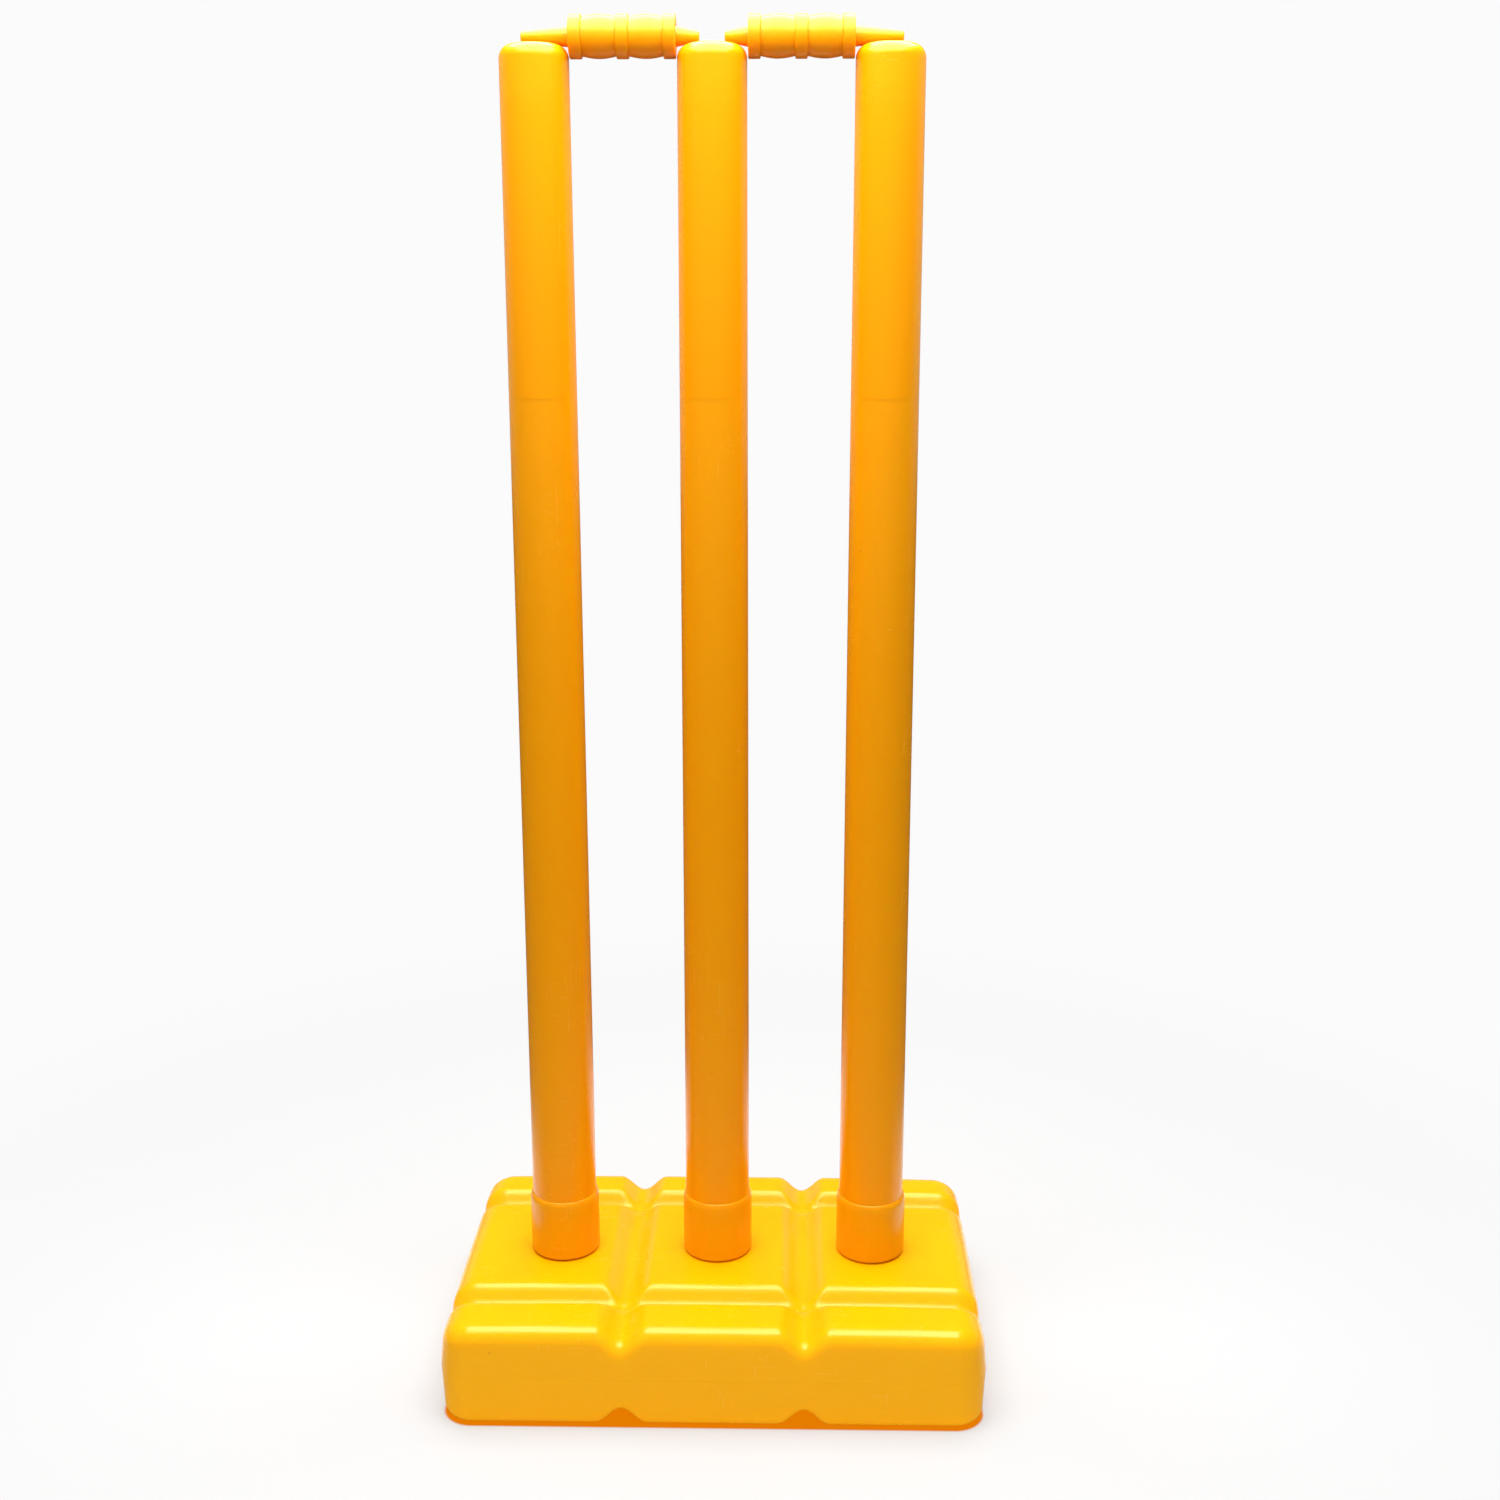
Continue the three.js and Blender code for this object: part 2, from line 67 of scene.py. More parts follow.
BASE_WIDTH = base_high.x - base_low.x
BASE_DEPTH = base_high.y - base_low.y
BASE_HEIGHT = base_high.z
ROW_Y = (stump_low.y + stump_high.y) / 2
STUMP_X = {}
for side in ("left", "middle", "right"):
    low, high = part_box("stump_" + side)
    STUMP_X[side] = (low.x + high.x) / 2
print("base", [round(size * 1000, 1) for size in (BASE_WIDTH, BASE_DEPTH, BASE_HEIGHT)], "mm")
print("stumps at", {side: round(x * 1000, 1) for side, x in STUMP_X.items()}, "mm")

# %% [markdown]
# The camera
#
# A photograph of a tall thing taken from a little above makes its uprights lean together towards
# the bottom. The amount they lean gives the camera's tilt, and the known pitch of the stumps gives
# its distance. The camera stands a metre in front of the stumps, just right of the middle, and
# looks down 14 degrees.

# %% Camera
CAMERA_PLACE = Vector((0.0395, ROW_Y - 1.0116, BASE_HEIGHT + 0.5720))
CAMERA_PITCH = 13.91
CAMERA_YAW = 1.09
CAMERA_LENS = 42.72
SENSOR_WIDTH = 36

camera = bpy.data.objects.new("camera", bpy.data.cameras.new("camera"))
bpy.context.collection.objects.link(camera)
camera.data.lens = CAMERA_LENS
camera.data.sensor_width = SENSOR_WIDTH
camera.location = CAMERA_PLACE
camera.rotation_euler = (math.radians(90 - CAMERA_PITCH), 0, math.radians(CAMERA_YAW))
bpy.context.scene.camera = camera
bpy.context.scene.view_settings.view_transform = "Standard"
print("camera at", [round(place * 1000) for place in CAMERA_PLACE], "mm")

# %% [markdown]
# Node helpers
#
# Materials, the world and Geometry Nodes are all trees of nodes, and a few helpers keep their
# building short. What feeds an input is either a plain value or the output of another node.

# %% Node helpers
INPUT_PREFIX = "input_"


def feed(tree, socket, value):
    """Joins an output to an input socket, or gives the input a plain value."""
    if isinstance(value, bpy.types.NodeSocket):
        tree.links.new(value, socket)
    else:
        socket.default_value = value


def add(tree, kind, *fed, **values):
    """Adds a node and feeds its inputs: what is fed goes to them in order, and input_NAME to the
    input of that name. The other values are settings of the node, made before anything is fed."""
    made = tree.nodes.new(kind)
    for key, value in values.items():
        if not key.startswith(INPUT_PREFIX):
            setattr(made, key, value)
    for place, value in enumerate(fed):
        feed(tree, made.inputs[place], value)
    for key, value in values.items():
        if key.startswith(INPUT_PREFIX):
            feed(tree, made.inputs[key[len(INPUT_PREFIX):].replace("_", " ")], value)
    return made


def maths(tree, operation, *fed, clamp=False):
    """The output of a Math node."""
    return add(tree, "ShaderNodeMath", *fed, operation=operation, use_clamp=clamp).outputs[0]


# %% Mixing and soft steps
# For numbers and for colours: the places of a Mix node's two inputs and of its output.
MIX_SOCKETS = {"FLOAT": (2, 3, 0), "RGBA": (6, 7, 2)}


def mixed(tree, kind, factor, first, second):
    """The first value where the factor is 0, the second where it is 1, and a blend between."""
    blend = add(tree, "ShaderNodeMix", factor, data_type=kind)
    first_place, second_place, output_place = MIX_SOCKETS[kind]
    feed(tree, blend.inputs[first_place], first)
    feed(tree, blend.inputs[second_place], second)
    return blend.outputs[output_place]


def soft_step(tree, value, start, end, low=0, high=1):
    """Low up to the start, high from the end on, and a soft rise or fall between them."""
    return add(tree, "ShaderNodeMapRange", interpolation_type="SMOOTHSTEP", clamp=True,
               input_Value=value, input_From_Min=start, input_From_Max=end, input_To_Min=low,
               input_To_Max=high).outputs["Result"]


print("Mix node: places of the inputs and the output", MIX_SOCKETS)


# %% [markdown]
# The floor
#
# The wicket was photographed in a white room. Glossy plastic shows the floor and is lit by it
# from below, so the floor has a value for each kind of ray. The camera sees it white. The light
# that it sends up fades with distance. As a reflection it is bright beside and behind the wicket,
# and dim in front, which leaves the front face its full colour.

# %% Floor
FLOOR_HALF = 6


def mesh_object(name, vertices, faces):
    mesh = bpy.data.meshes.new(name)
    mesh.from_pydata([tuple(vertex) for vertex in vertices], [], [tuple(face) for face in faces])
    mesh.update()
    made = bpy.data.objects.new(name, mesh)
    bpy.context.collection.objects.link(made)
    return made


floor = mesh_object(
    "floor",
    [(-FLOOR_HALF, -FLOOR_HALF, 0), (FLOOR_HALF, -FLOOR_HALF, 0),
     (FLOOR_HALF, FLOOR_HALF, 0), (-FLOOR_HALF, FLOOR_HALF, 0)],
    [(0, 1, 2, 3)],
)
print("floor", 2 * FLOOR_HALF, "m across")

# %% The floor's white
FLOOR_SHOWN = 0.53
WHITE_SHOWN = 0.965
WHITE_NEAR_SHARE = 0.4
WHITE_FADE = (0.25, 0.8)
NEAR_BOUNCE = 0.6
FAR_BOUNCE = 0.15
BOUNCE_FADE = (0.25, 0.6)
FRONT_GLOSS = 0.05
BACK_GLOSS = 0.7
GLOSS_FADE = (0.3, 0.5)
GLOSS_RISE = 0.1

white = bpy.data.materials.new("white floor")
white.use_nodes = True
paper = white.node_tree
paper.nodes.clear()
ray = add(paper, "ShaderNodeLightPath").outputs
floor_spot = add(paper, "ShaderNodeTexCoord").outputs["Object"]
floor_at = add(paper, "ShaderNodeSeparateXYZ", floor_spot).outputs
away = add(paper, "ShaderNodeVectorMath", floor_spot, operation="LENGTH").outputs["Value"]

behind_share = maths(paper, "MULTIPLY_ADD", floor_at["Y"], 1 / GLOSS_RISE, 1.0, clamp=True)
beside_share = maths(paper, "MULTIPLY", behind_share, soft_step(paper, away, *GLOSS_FADE, 1, 0))
gloss = maths(paper, "MULTIPLY_ADD", beside_share, BACK_GLOSS - FRONT_GLOSS, FRONT_GLOSS)
bounce = soft_step(paper, away, *BOUNCE_FADE, NEAR_BOUNCE, FAR_BOUNCE)
bounce = mixed(paper, "FLOAT", ray["Is Glossy Ray"], bounce, gloss)
floor_value = mixed(paper, "FLOAT", ray["Is Camera Ray"], bounce, FLOOR_SHOWN)
lit = add(paper, "ShaderNodeBsdfDiffuse", floor_value)
bright = add(paper, "ShaderNodeEmission", input_Strength=WHITE_SHOWN)
bright_share = soft_step(paper, away, *WHITE_FADE, WHITE_NEAR_SHARE, 1)
bright_share = maths(paper, "MULTIPLY", bright_share, ray["Is Camera Ray"])
plain_floor = add(paper, "ShaderNodeMixShader", bright_share, lit.outputs[0], bright.outputs[0])
print("the floor sends up", NEAR_BOUNCE, "of its light near the wicket and", FAR_BOUNCE, "far off")

# %% [markdown]
# The glow under the base
#
# Light comes through the golden walls and colours the floor under the base, and here that is a
# painted glow on the floor. It shows as an orange line where the edge of the base turns under,
# and in the notches where the channels of the underside come out. A point of the floor knows how
# far it lies beyond the outline of the base, which is a rectangle with round corners. Under the
# base the camera sees a painted orange, and near the outline the floor sends a little orange
# light up to the plastic, a painted glow though the floor is no lamp.

# %% Glow under the base
CORNER_RADIUS = mm(19)
UNDER_GLOW = 0.3
UNDER_GLOW_REACH = mm(25)
UNDER_GLOW_COLOUR = (1.0, 0.55, 0.05, 1)
CAMERA_PAINTED_ORANGE = (0.79, 0.2, 0.0, 1)
PAINTED_ORANGE_EDGE = mm(1.5)

past_corner = []
for axis, half in (("X", BASE_WIDTH / 2), ("Y", BASE_DEPTH / 2)):
    from_middle = maths(paper, "ABSOLUTE", floor_at[axis])
    past = maths(paper, "SUBTRACT", from_middle, half - CORNER_RADIUS)
    past_corner.append(maths(paper, "MAXIMUM", past, 0.0))
past_corner = add(paper, "ShaderNodeCombineXYZ", *past_corner).outputs[0]
from_corner = add(paper, "ShaderNodeVectorMath", past_corner, operation="LENGTH")
beyond = maths(paper, "SUBTRACT", from_corner.outputs["Value"], CORNER_RADIUS)

# Painted glow: near the outline the floor sends orange light up to the plastic, though it is no
# lamp.
glow_share = maths(paper, "DIVIDE", maths(paper, "SUBTRACT", UNDER_GLOW_REACH, beyond),
                   UNDER_GLOW_REACH, clamp=True)
unseen = maths(paper, "SUBTRACT", 1.0, ray["Is Camera Ray"])
glow_share = maths(paper, "MULTIPLY", glow_share, unseen)
under_glow = add(paper, "ShaderNodeEmission", input_Color=UNDER_GLOW_COLOUR,
                 input_Strength=maths(paper, "MULTIPLY", glow_share, UNDER_GLOW))
glowing_floor = add(paper, "ShaderNodeAddShader", plain_floor.outputs[0], under_glow.outputs[0])

# Painted glow: under the base the camera sees the floor as a flat orange emission.
painted_orange_share = maths(paper, "DIVIDE", beyond, -PAINTED_ORANGE_EDGE, clamp=True)
painted_orange_share = maths(paper, "MULTIPLY", painted_orange_share, ray["Is Camera Ray"])
camera_painted_orange = add(paper, "ShaderNodeEmission", input_Color=CAMERA_PAINTED_ORANGE)
whole_floor = add(paper, "ShaderNodeMixShader", painted_orange_share, glowing_floor.outputs[0],
                  camera_painted_orange.outputs[0])
add(paper, "ShaderNodeOutputMaterial", whole_floor.outputs[0])
floor.data.materials.append(white)
print("floor material:", len(paper.nodes), "nodes")

# %% [markdown]
# The lamps
#
# One large soft lamp hangs over the wicket, and draws the pale lines along every rounded edge
# that faces up. A small one, close in front of the tops, stands in for the light that nearly
# burns them out. The plastic reflects the lamps, but the camera doesn't see them.

# %% Lamps
LAMP_SIZE = (0.95, 0.95)
LAMP_HEIGHT = 1.22
LAMP_POWER = 26.3
TOP_LAMP_SIZE = (0.4, 0.1)
TOP_LAMP_POWER = 0.45
TOP_LAMP_PLACE = Vector((0, -0.16, 0.13))


def soft_lamp(name, place, aim, size, power):
    """A soft lamp that points from its place to the aim, unseen by the camera."""
    lamp = bpy.data.objects.new(name, bpy.data.lights.new(name, "AREA"))
    bpy.context.collection.objects.link(lamp)
    lamp.data.shape = "RECTANGLE"
    lamp.data.size, lamp.data.size_y = size
    lamp.data.energy = power
    lamp.location = place
    lamp.rotation_euler = (aim - place).to_track_quat("-Z", "Y").to_euler()
    lamp.visible_camera = False
    print(name, power, "W")


overhead = Vector((0, ROW_Y, LAMP_HEIGHT))
soft_lamp("overhead lamp", overhead, overhead - Vector((0, 0, 1)), LAMP_SIZE, LAMP_POWER)
tops = Vector((0, ROW_Y, stump_high.z))
soft_lamp("lamp for the tops", tops + TOP_LAMP_PLACE, tops, TOP_LAMP_SIZE, TOP_LAMP_POWER)

# %% [markdown]
# The room
#
# Besides the lamps, the white room lights the plastic from all sides, and up to twice as strongly
# from the front, where it is open. What the plastic reflects is another matter: a white wall
# behind the wicket up to a certain height, and a dim room everywhere else, so that the flat tops
# keep their full colour. The camera sees plain white. So the world too has a value for each kind
# of ray.

# %% World
ROOM_LIGHT = 0.5
FRONT_LIGHT = 0.47
FRONT_SIDE = (-0.2, -0.98, 0.0)
WALL_LIGHT = 0.45
DIM_LIGHT = 0.04
WALL_TOP = 0.34
WALL_EDGE = 0.14
BEHIND_RISE = 2.0
BEHIND_START = 0.2

world = bpy.data.worlds.new("studio")
world.use_nodes = True
bpy.context.scene.world = world
sky = world.node_tree
sky.nodes.clear()
sky_ray = add(sky, "ShaderNodeLightPath").outputs
sky_side = add(sky, "ShaderNodeTexCoord").outputs["Generated"]
sky_at = add(sky, "ShaderNodeSeparateXYZ", sky_side).outputs

wall_share = maths(sky, "DIVIDE", maths(sky, "SUBTRACT", WALL_TOP, sky_at["Z"]), WALL_EDGE,
                   clamp=True)
behind = maths(sky, "MULTIPLY_ADD", sky_at["Y"], BEHIND_RISE, BEHIND_START, clamp=True)
reflected = mixed(sky, "FLOAT", maths(sky, "MULTIPLY", wall_share, behind), DIM_LIGHT, WALL_LIGHT)
facing = add(sky, "ShaderNodeVectorMath", sky_side, FRONT_SIDE, operation="DOT_PRODUCT")
front = maths(sky, "MAXIMUM", facing.outputs["Value"], 0.0)
lighting = maths(sky, "MULTIPLY_ADD", front, FRONT_LIGHT, ROOM_LIGHT)
unseen_value = mixed(sky, "FLOAT", sky_ray["Is Glossy Ray"], lighting, reflected)
sky_value = mixed(sky, "FLOAT", sky_ray["Is Camera Ray"], unseen_value, WHITE_SHOWN)
background = add(sky, "ShaderNodeBackground", input_Color=(1, 1, 1, 1), input_Strength=sky_value)
add(sky, "ShaderNodeOutputWorld", background.outputs[0])
print("world:", len(sky.nodes), "nodes")

# %% [markdown]
# The plastic
#
# Blow-moulded polyethylene is glossy but never flat: its skin has a fine orange peel, it sinks and
# swells a little where the wall cooled unevenly, and use leaves fine scratches and a few specks.
# Each of these effects is a node group, built once and placed in the materials with other values.

# %% Node group tools
SOCKET_KINDS = {"vector": "NodeSocketVector", "float": "NodeSocketFloat",
                "colour": "NodeSocketColor", "geometry": "NodeSocketGeometry",
                "integer": "NodeSocketInt", "material": "NodeSocketMaterial"}


def new_tree(name, kind, inputs, outputs):
    """A node group with named sockets, and its two end nodes."""
    tree = bpy.data.node_groups.new(name, kind)
    for socket_name, socket_kind, value in inputs:
        made = tree.interface.new_socket(
            socket_name, in_out="INPUT", socket_type=SOCKET_KINDS[socket_kind])
        if value is not None:
            made.default_value = value
    for socket_name, socket_kind in outputs:
        tree.interface.new_socket(
            socket_name, in_out="OUTPUT", socket_type=SOCKET_KINDS[socket_kind])
    start = tree.nodes.new("NodeGroupInput")
    end = tree.nodes.new("NodeGroupOutput")
    return tree, start.outputs, end.inputs


def noise(tree, vector, scale, detail=2.0, roughness=0.5):
    return add(tree, "ShaderNodeTexNoise", input_Vector=vector, input_Scale=scale,
               input_Detail=detail, input_Roughness=roughness).outputs["Fac"]


print("kinds of group socket:", ", ".join(SOCKET_KINDS))


# %% Node group: the moulded skin
PEEL_HEIGHT = 0.03
TONE_SCALE = 14.0
POLISH_SCALE = 90.0


def moulded_skin():
    """Height, tone and polish of a blow-moulded skin."""
    tree, given, result = new_tree(
        "Moulded Skin", "ShaderNodeTree",
        [("Vector", "vector", None), ("Peel Scale", "float", 700.0),
         ("Swell Scale", "float", 38.0), ("Swell Height", "float", 0.6)],
        [("Height", "float"), ("Tone", "float"), ("Polish", "float")],
    )
    place = given["Vector"]
    peel = noise(tree, place, given["Peel Scale"], detail=2.0, roughness=0.45)
    swell = noise(tree, place, given["Swell Scale"], detail=1.0, roughness=0.4)
    height = maths(tree, "ADD", maths(tree, "MULTIPLY", peel, PEEL_HEIGHT),
                   maths(tree, "MULTIPLY", swell, given["Swell Height"]))
    feed(tree, result["Height"], height)
    feed(tree, result["Tone"], noise(tree, place, TONE_SCALE, detail=3.0, roughness=0.55))
    feed(tree, result["Polish"], noise(tree, place, POLISH_SCALE, detail=4.0, roughness=0.6))
    return tree


MOULDED_SKIN = moulded_skin()
print(MOULDED_SKIN.name, len(MOULDED_SKIN.nodes), "nodes")


# %% Node group: scratches
STREAK_ACROSS = 900.0
STREAK_ALONG = 26.0
STREAK_TURNS = ((0.15, 0.35, 0.4), (0.15, 1.25, 0.4))
STREAK_BAND = (0.66, 0.72)
PATCH_SCALE = 22.0
PATCH_BAND = (0.52, 0.66)


def scratches():
    """Fine scuffs: long thin streaks in two directions, kept to a few rubbed patches."""
    tree, given, result = new_tree(
        "Scratches", "ShaderNodeTree",
        [("Vector", "vector", None), ("Amount", "float", 0.5)],
        [("Mask", "float")],
    )
    stretches = ((STREAK_ACROSS, STREAK_ACROSS, STREAK_ALONG),
                 (STREAK_ALONG, STREAK_ACROSS, STREAK_ACROSS))
    streaks = []
    for turn, stretch in zip(STREAK_TURNS, stretches):
        stretched = add(tree, "ShaderNodeMapping", input_Vector=given["Vector"],
                        input_Rotation=turn, input_Scale=stretch)
        streak = noise(tree, stretched.outputs[0], 1.0, detail=1.0, roughness=0.3)
        streaks.append(soft_step(tree, streak, *STREAK_BAND))
    patches = soft_step(tree, noise(tree, given["Vector"], PATCH_SCALE), *PATCH_BAND)
    kept = maths(tree, "MULTIPLY", maths(tree, "MAXIMUM", *streaks), patches)
    feed(tree, result["Mask"], maths(tree, "MULTIPLY", kept, given["Amount"]))
    return tree


SCRATCHES = scratches()
print(SCRATCHES.name, len(SCRATCHES.nodes), "nodes")


# %% Node group: specks
SPECK_RARITY = 0.72


def specks():
    """Sparse dark specks and pits, each a fraction of a millimetre across."""
    tree, given, result = new_tree(
        "Specks", "ShaderNodeTree",
        [("Vector", "vector", None), ("Spacing Scale", "float", 70.0), ("Size", "float", 0.03)],
        [("Mask", "float")],
    )
    cells = add(tree, "ShaderNodeTexVoronoi", feature="F1", input_Vector=given["Vector"],
                input_Scale=given["Spacing Scale"])
    chance = add(tree, "ShaderNodeSeparateColor", cells.outputs["Color"]).outputs[0]
    few = maths(tree, "GREATER_THAN", chance, SPECK_RARITY)
    near = maths(tree, "LESS_THAN", cells.outputs["Distance"], given["Size"])
    feed(tree, result["Mask"], maths(tree, "MULTIPLY", near, few))
    return tree


SPECKS = specks()
print(SPECKS.name, len(SPECKS.nodes), "nodes")


# %% Node group: parting line
def parting_line():
    """The low ridge where the two halves of the mould met, along one plane."""
    tree, given, result = new_tree(
        "Parting Line", "ShaderNodeTree",
        [("Vector", "vector", None), ("Across", "vector", (0, 0, 1)),
         ("Place", "float", 0.03), ("Width", "float", 0.0004)],
        [("Ridge", "float")],
    )
    across = add(tree, "ShaderNodeVectorMath", given["Vector"], given["Across"],
                 operation="DOT_PRODUCT")
    offset = maths(tree, "SUBTRACT", across.outputs["Value"], given["Place"])
    share = maths(tree, "DIVIDE", maths(tree, "ABSOLUTE", offset), given["Width"])
    feed(tree, result["Ridge"], maths(tree, "SUBTRACT", 1.0, share, clamp=True))
    return tree


PARTING_LINE = parting_line()
print(PARTING_LINE.name, len(PARTING_LINE.nodes), "nodes")

# %% [markdown]
# One plastic, five finishes
#
# The groups meet in one material function. Tone, scuffs and specks change the colour a little,
# scuffs dull the gloss, and the skin, the scuffs, the specks and the parting lines make the
# relief. Light goes some way into polyethylene, so a part of the colour is scattered under the
# surface, which softens the shadows and carries red further than green. The collars are painted
# a shade deeper and less red than the tubes above them. This painted shade offsets the red light
# that the base throws up on them, so the finish of the stumps changes at that height.

# %% Colours
GOLD = (0.975, 0.418, 0.0, 1)
DEEP_GOLD = (0.91, 0.40, 0.0, 1)
WARM_GOLD = (0.88, 0.312, 0.0, 1)
DEEP_WARM_GOLD = (0.84, 0.295, 0.0, 1)
FILMED_GOLD = (0.86, 0.308, 0.0, 1)
# Painted shade for the collars, offsetting the red light that the base throws up on them.
COLLAR_PAINTED_SHADE = (0.78, 0.325, 0.0, 1)
SPECK_BROWN = (0.45, 0.13, 0.0, 1)
WORN_GOLD = (0.95, 0.53, 0.06, 1)
print("gold", GOLD[:3], "and warm gold", WARM_GOLD[:3])

# %% The plastic as a material
TONE_BAND = (0.35, 0.7)
TONE_SHARE = 0.2
WORN_SHARE = 0.2
SPECK_SHARE = 0.7
POLISH_SWING = 0.12
SCUFF_DULLNESS = 0.18
SCUFF_DEPTH = -0.05
SPECK_DEPTH = -0.15
RIDGE_HEIGHT = 0.35
RELIEF = mm(0.35)
PLASTIC_IOR = 1.5
GLOSS_TINT = (1.0, 0.9, 0.5, 1)
GLOW_RADIUS = (1.0, 0.35, 0.02)
GLOW_SCALE = mm(8)
FOOT_EDGE = mm(3)


def moulded_plastic(name, roughness, seams, body, scuffs=0.3, swell=0.3, glow=0.3, foot=None):
    """Golden polyethylene. Each seam is (direction across it, its place along that direction).

    The foot is (height, colour): below that height the plastic has another colour, a painted
    shade.
    """
    material = bpy.data.materials.new(name)
    material.use_nodes = True
    tree = material.node_tree
    place = add(tree, "ShaderNodeTexCoord").outputs["Object"]

    def effect(group, **values):
        """Places a node group on the object's own coordinates."""
        return add(tree, "ShaderNodeGroup", node_tree=group, input_Vector=place, **values).outputs

    skin = effect(MOULDED_SKIN, input_Swell_Height=swell)
    rubbed = effect(SCRATCHES, input_Amount=scuffs)["Mask"]
    speck = effect(SPECKS)["Mask"]

    tone = maths(tree, "MULTIPLY", soft_step(tree, skin["Tone"], *TONE_BAND), TONE_SHARE)
    colour = mixed(tree, "RGBA", tone, *body)
    # Painted shade: below the collar top the colour turns deeper and less red, offsetting the
    # base's red light.
    if foot is not None:
        foot_top, foot_painted_shade = foot
        level = add(tree, "ShaderNodeSeparateXYZ", place).outputs["Z"]
        above = soft_step(tree, level, foot_top - FOOT_EDGE, foot_top)
        colour = mixed(tree, "RGBA", above, foot_painted_shade, colour)
    worn = maths(tree, "MULTIPLY", rubbed, WORN_SHARE)
    colour = mixed(tree, "RGBA", worn, colour, WORN_GOLD)
    dark = maths(tree, "MULTIPLY", speck, SPECK_SHARE)
    colour = mixed(tree, "RGBA", dark, colour, SPECK_BROWN)

    polish = maths(tree, "MULTIPLY_ADD", skin["Polish"], POLISH_SWING,
                   roughness - POLISH_SWING / 2)
    polish = maths(tree, "MULTIPLY_ADD", rubbed, SCUFF_DULLNESS, polish)

    height = maths(tree, "MULTIPLY_ADD", rubbed, SCUFF_DEPTH, skin["Height"])
    height = maths(tree, "MULTIPLY_ADD", speck, SPECK_DEPTH, height)
    for across, at in seams:
        ridge = effect(PARTING_LINE, input_Across=across, input_Place=at)["Ridge"]
        height = maths(tree, "MULTIPLY_ADD", ridge, RIDGE_HEIGHT, height)
    bump = add(tree, "ShaderNodeBump", input_Strength=1.0, input_Distance=RELIEF,
               input_Height=height)

    shader = tree.nodes["Principled BSDF"]
    for socket, value in {
        "Base Color": colour, "Roughness": polish, "Normal": bump.outputs["Normal"],
        "IOR": PLASTIC_IOR, "Specular Tint": GLOSS_TINT, "Subsurface Weight": glow,
        "Subsurface Radius": GLOW_RADIUS, "Subsurface Scale": GLOW_SCALE,
    }.items():
        feed(tree, shader.inputs[socket], value)
    return material


# %% Five finishes
PARTING_SHARE = 0.5
COLLAR_TOP = BASE_HEIGHT + mm(38.8)
LEVEL_SEAM = ((0, 0, 1), BASE_HEIGHT * PARTING_SHARE)
UPRIGHT_SEAM = ((0, 1, 0), ROW_Y)

base_plastic = moulded_plastic(
    "golden base plastic", roughness=0.25, seams=[LEVEL_SEAM], body=(GOLD, DEEP_GOLD), swell=0.15)
stump_plastic = moulded_plastic(
    "golden stump plastic", roughness=0.24, seams=[UPRIGHT_SEAM],
    body=(WARM_GOLD, DEEP_WARM_GOLD), swell=0.2, foot=(COLLAR_TOP, COLLAR_PAINTED_SHADE))
film_plastic = moulded_plastic(
    "filmed golden plastic", roughness=0.2, seams=[], body=(FILMED_GOLD, DEEP_WARM_GOLD),
    scuffs=0.2, swell=0.1, glow=0)
bail_plastic = moulded_plastic(
    "golden bail plastic", roughness=0.3, seams=[UPRIGHT_SEAM],
    body=(WARM_GOLD, DEEP_WARM_GOLD), swell=0.2)
plug_plastic = moulded_plastic(
    "golden plug plastic", roughness=0.38, seams=[], body=(WARM_GOLD, DEEP_WARM_GOLD), swell=0.1)
for finish in (base_plastic, stump_plastic, film_plastic, bail_plastic, plug_plastic):
    print(finish.name, len(finish.node_tree.nodes), "nodes")

# %% [markdown]
# A lathe in Geometry Nodes
#
# Stumps, bails, the plug and the tools that cut the sockets are all turned shapes. A turned shape
# needs only its outline, so one small tree does for all of them: a flat grid is wrapped round the
# axis, and each of its columns takes its radius and height from one point of the outline. A Screw
# modifier would do too, but a tree shows each step of the wrapping, and it closes the seam and
# sets the material in the same go.

# %% Geometry Nodes: both ends of a tree
def mesh_tree(name, *sockets):
    """A tree that works on a mesh, with these inputs between its geometry and its material."""
    return new_tree(name, "GeometryNodeTree",
                    [("Geometry", "geometry", None), *sockets, ("Material", "material", None)],
                    [("Geometry", "geometry")])


def end_tree(tree, geometry, given, result):
    """The last nodes of every mesh tree: smooth faces, plain geometry and its material."""
    smooth = add(tree, "GeometryNodeSetShadeSmooth", input_Geometry=geometry)
    realized = add(tree, "GeometryNodeRealizeInstances", input_Geometry=smooth.outputs[0])
    painted = add(tree, "GeometryNodeSetMaterial", input_Geometry=realized.outputs[0],
                  input_Material=given["Material"])
    feed(tree, result["Geometry"], painted.outputs[0])
    return tree


# %% Geometry Nodes: lathe
SEAM_DISTANCE = mm(0.004)
SMOOTH_SIDES = 96


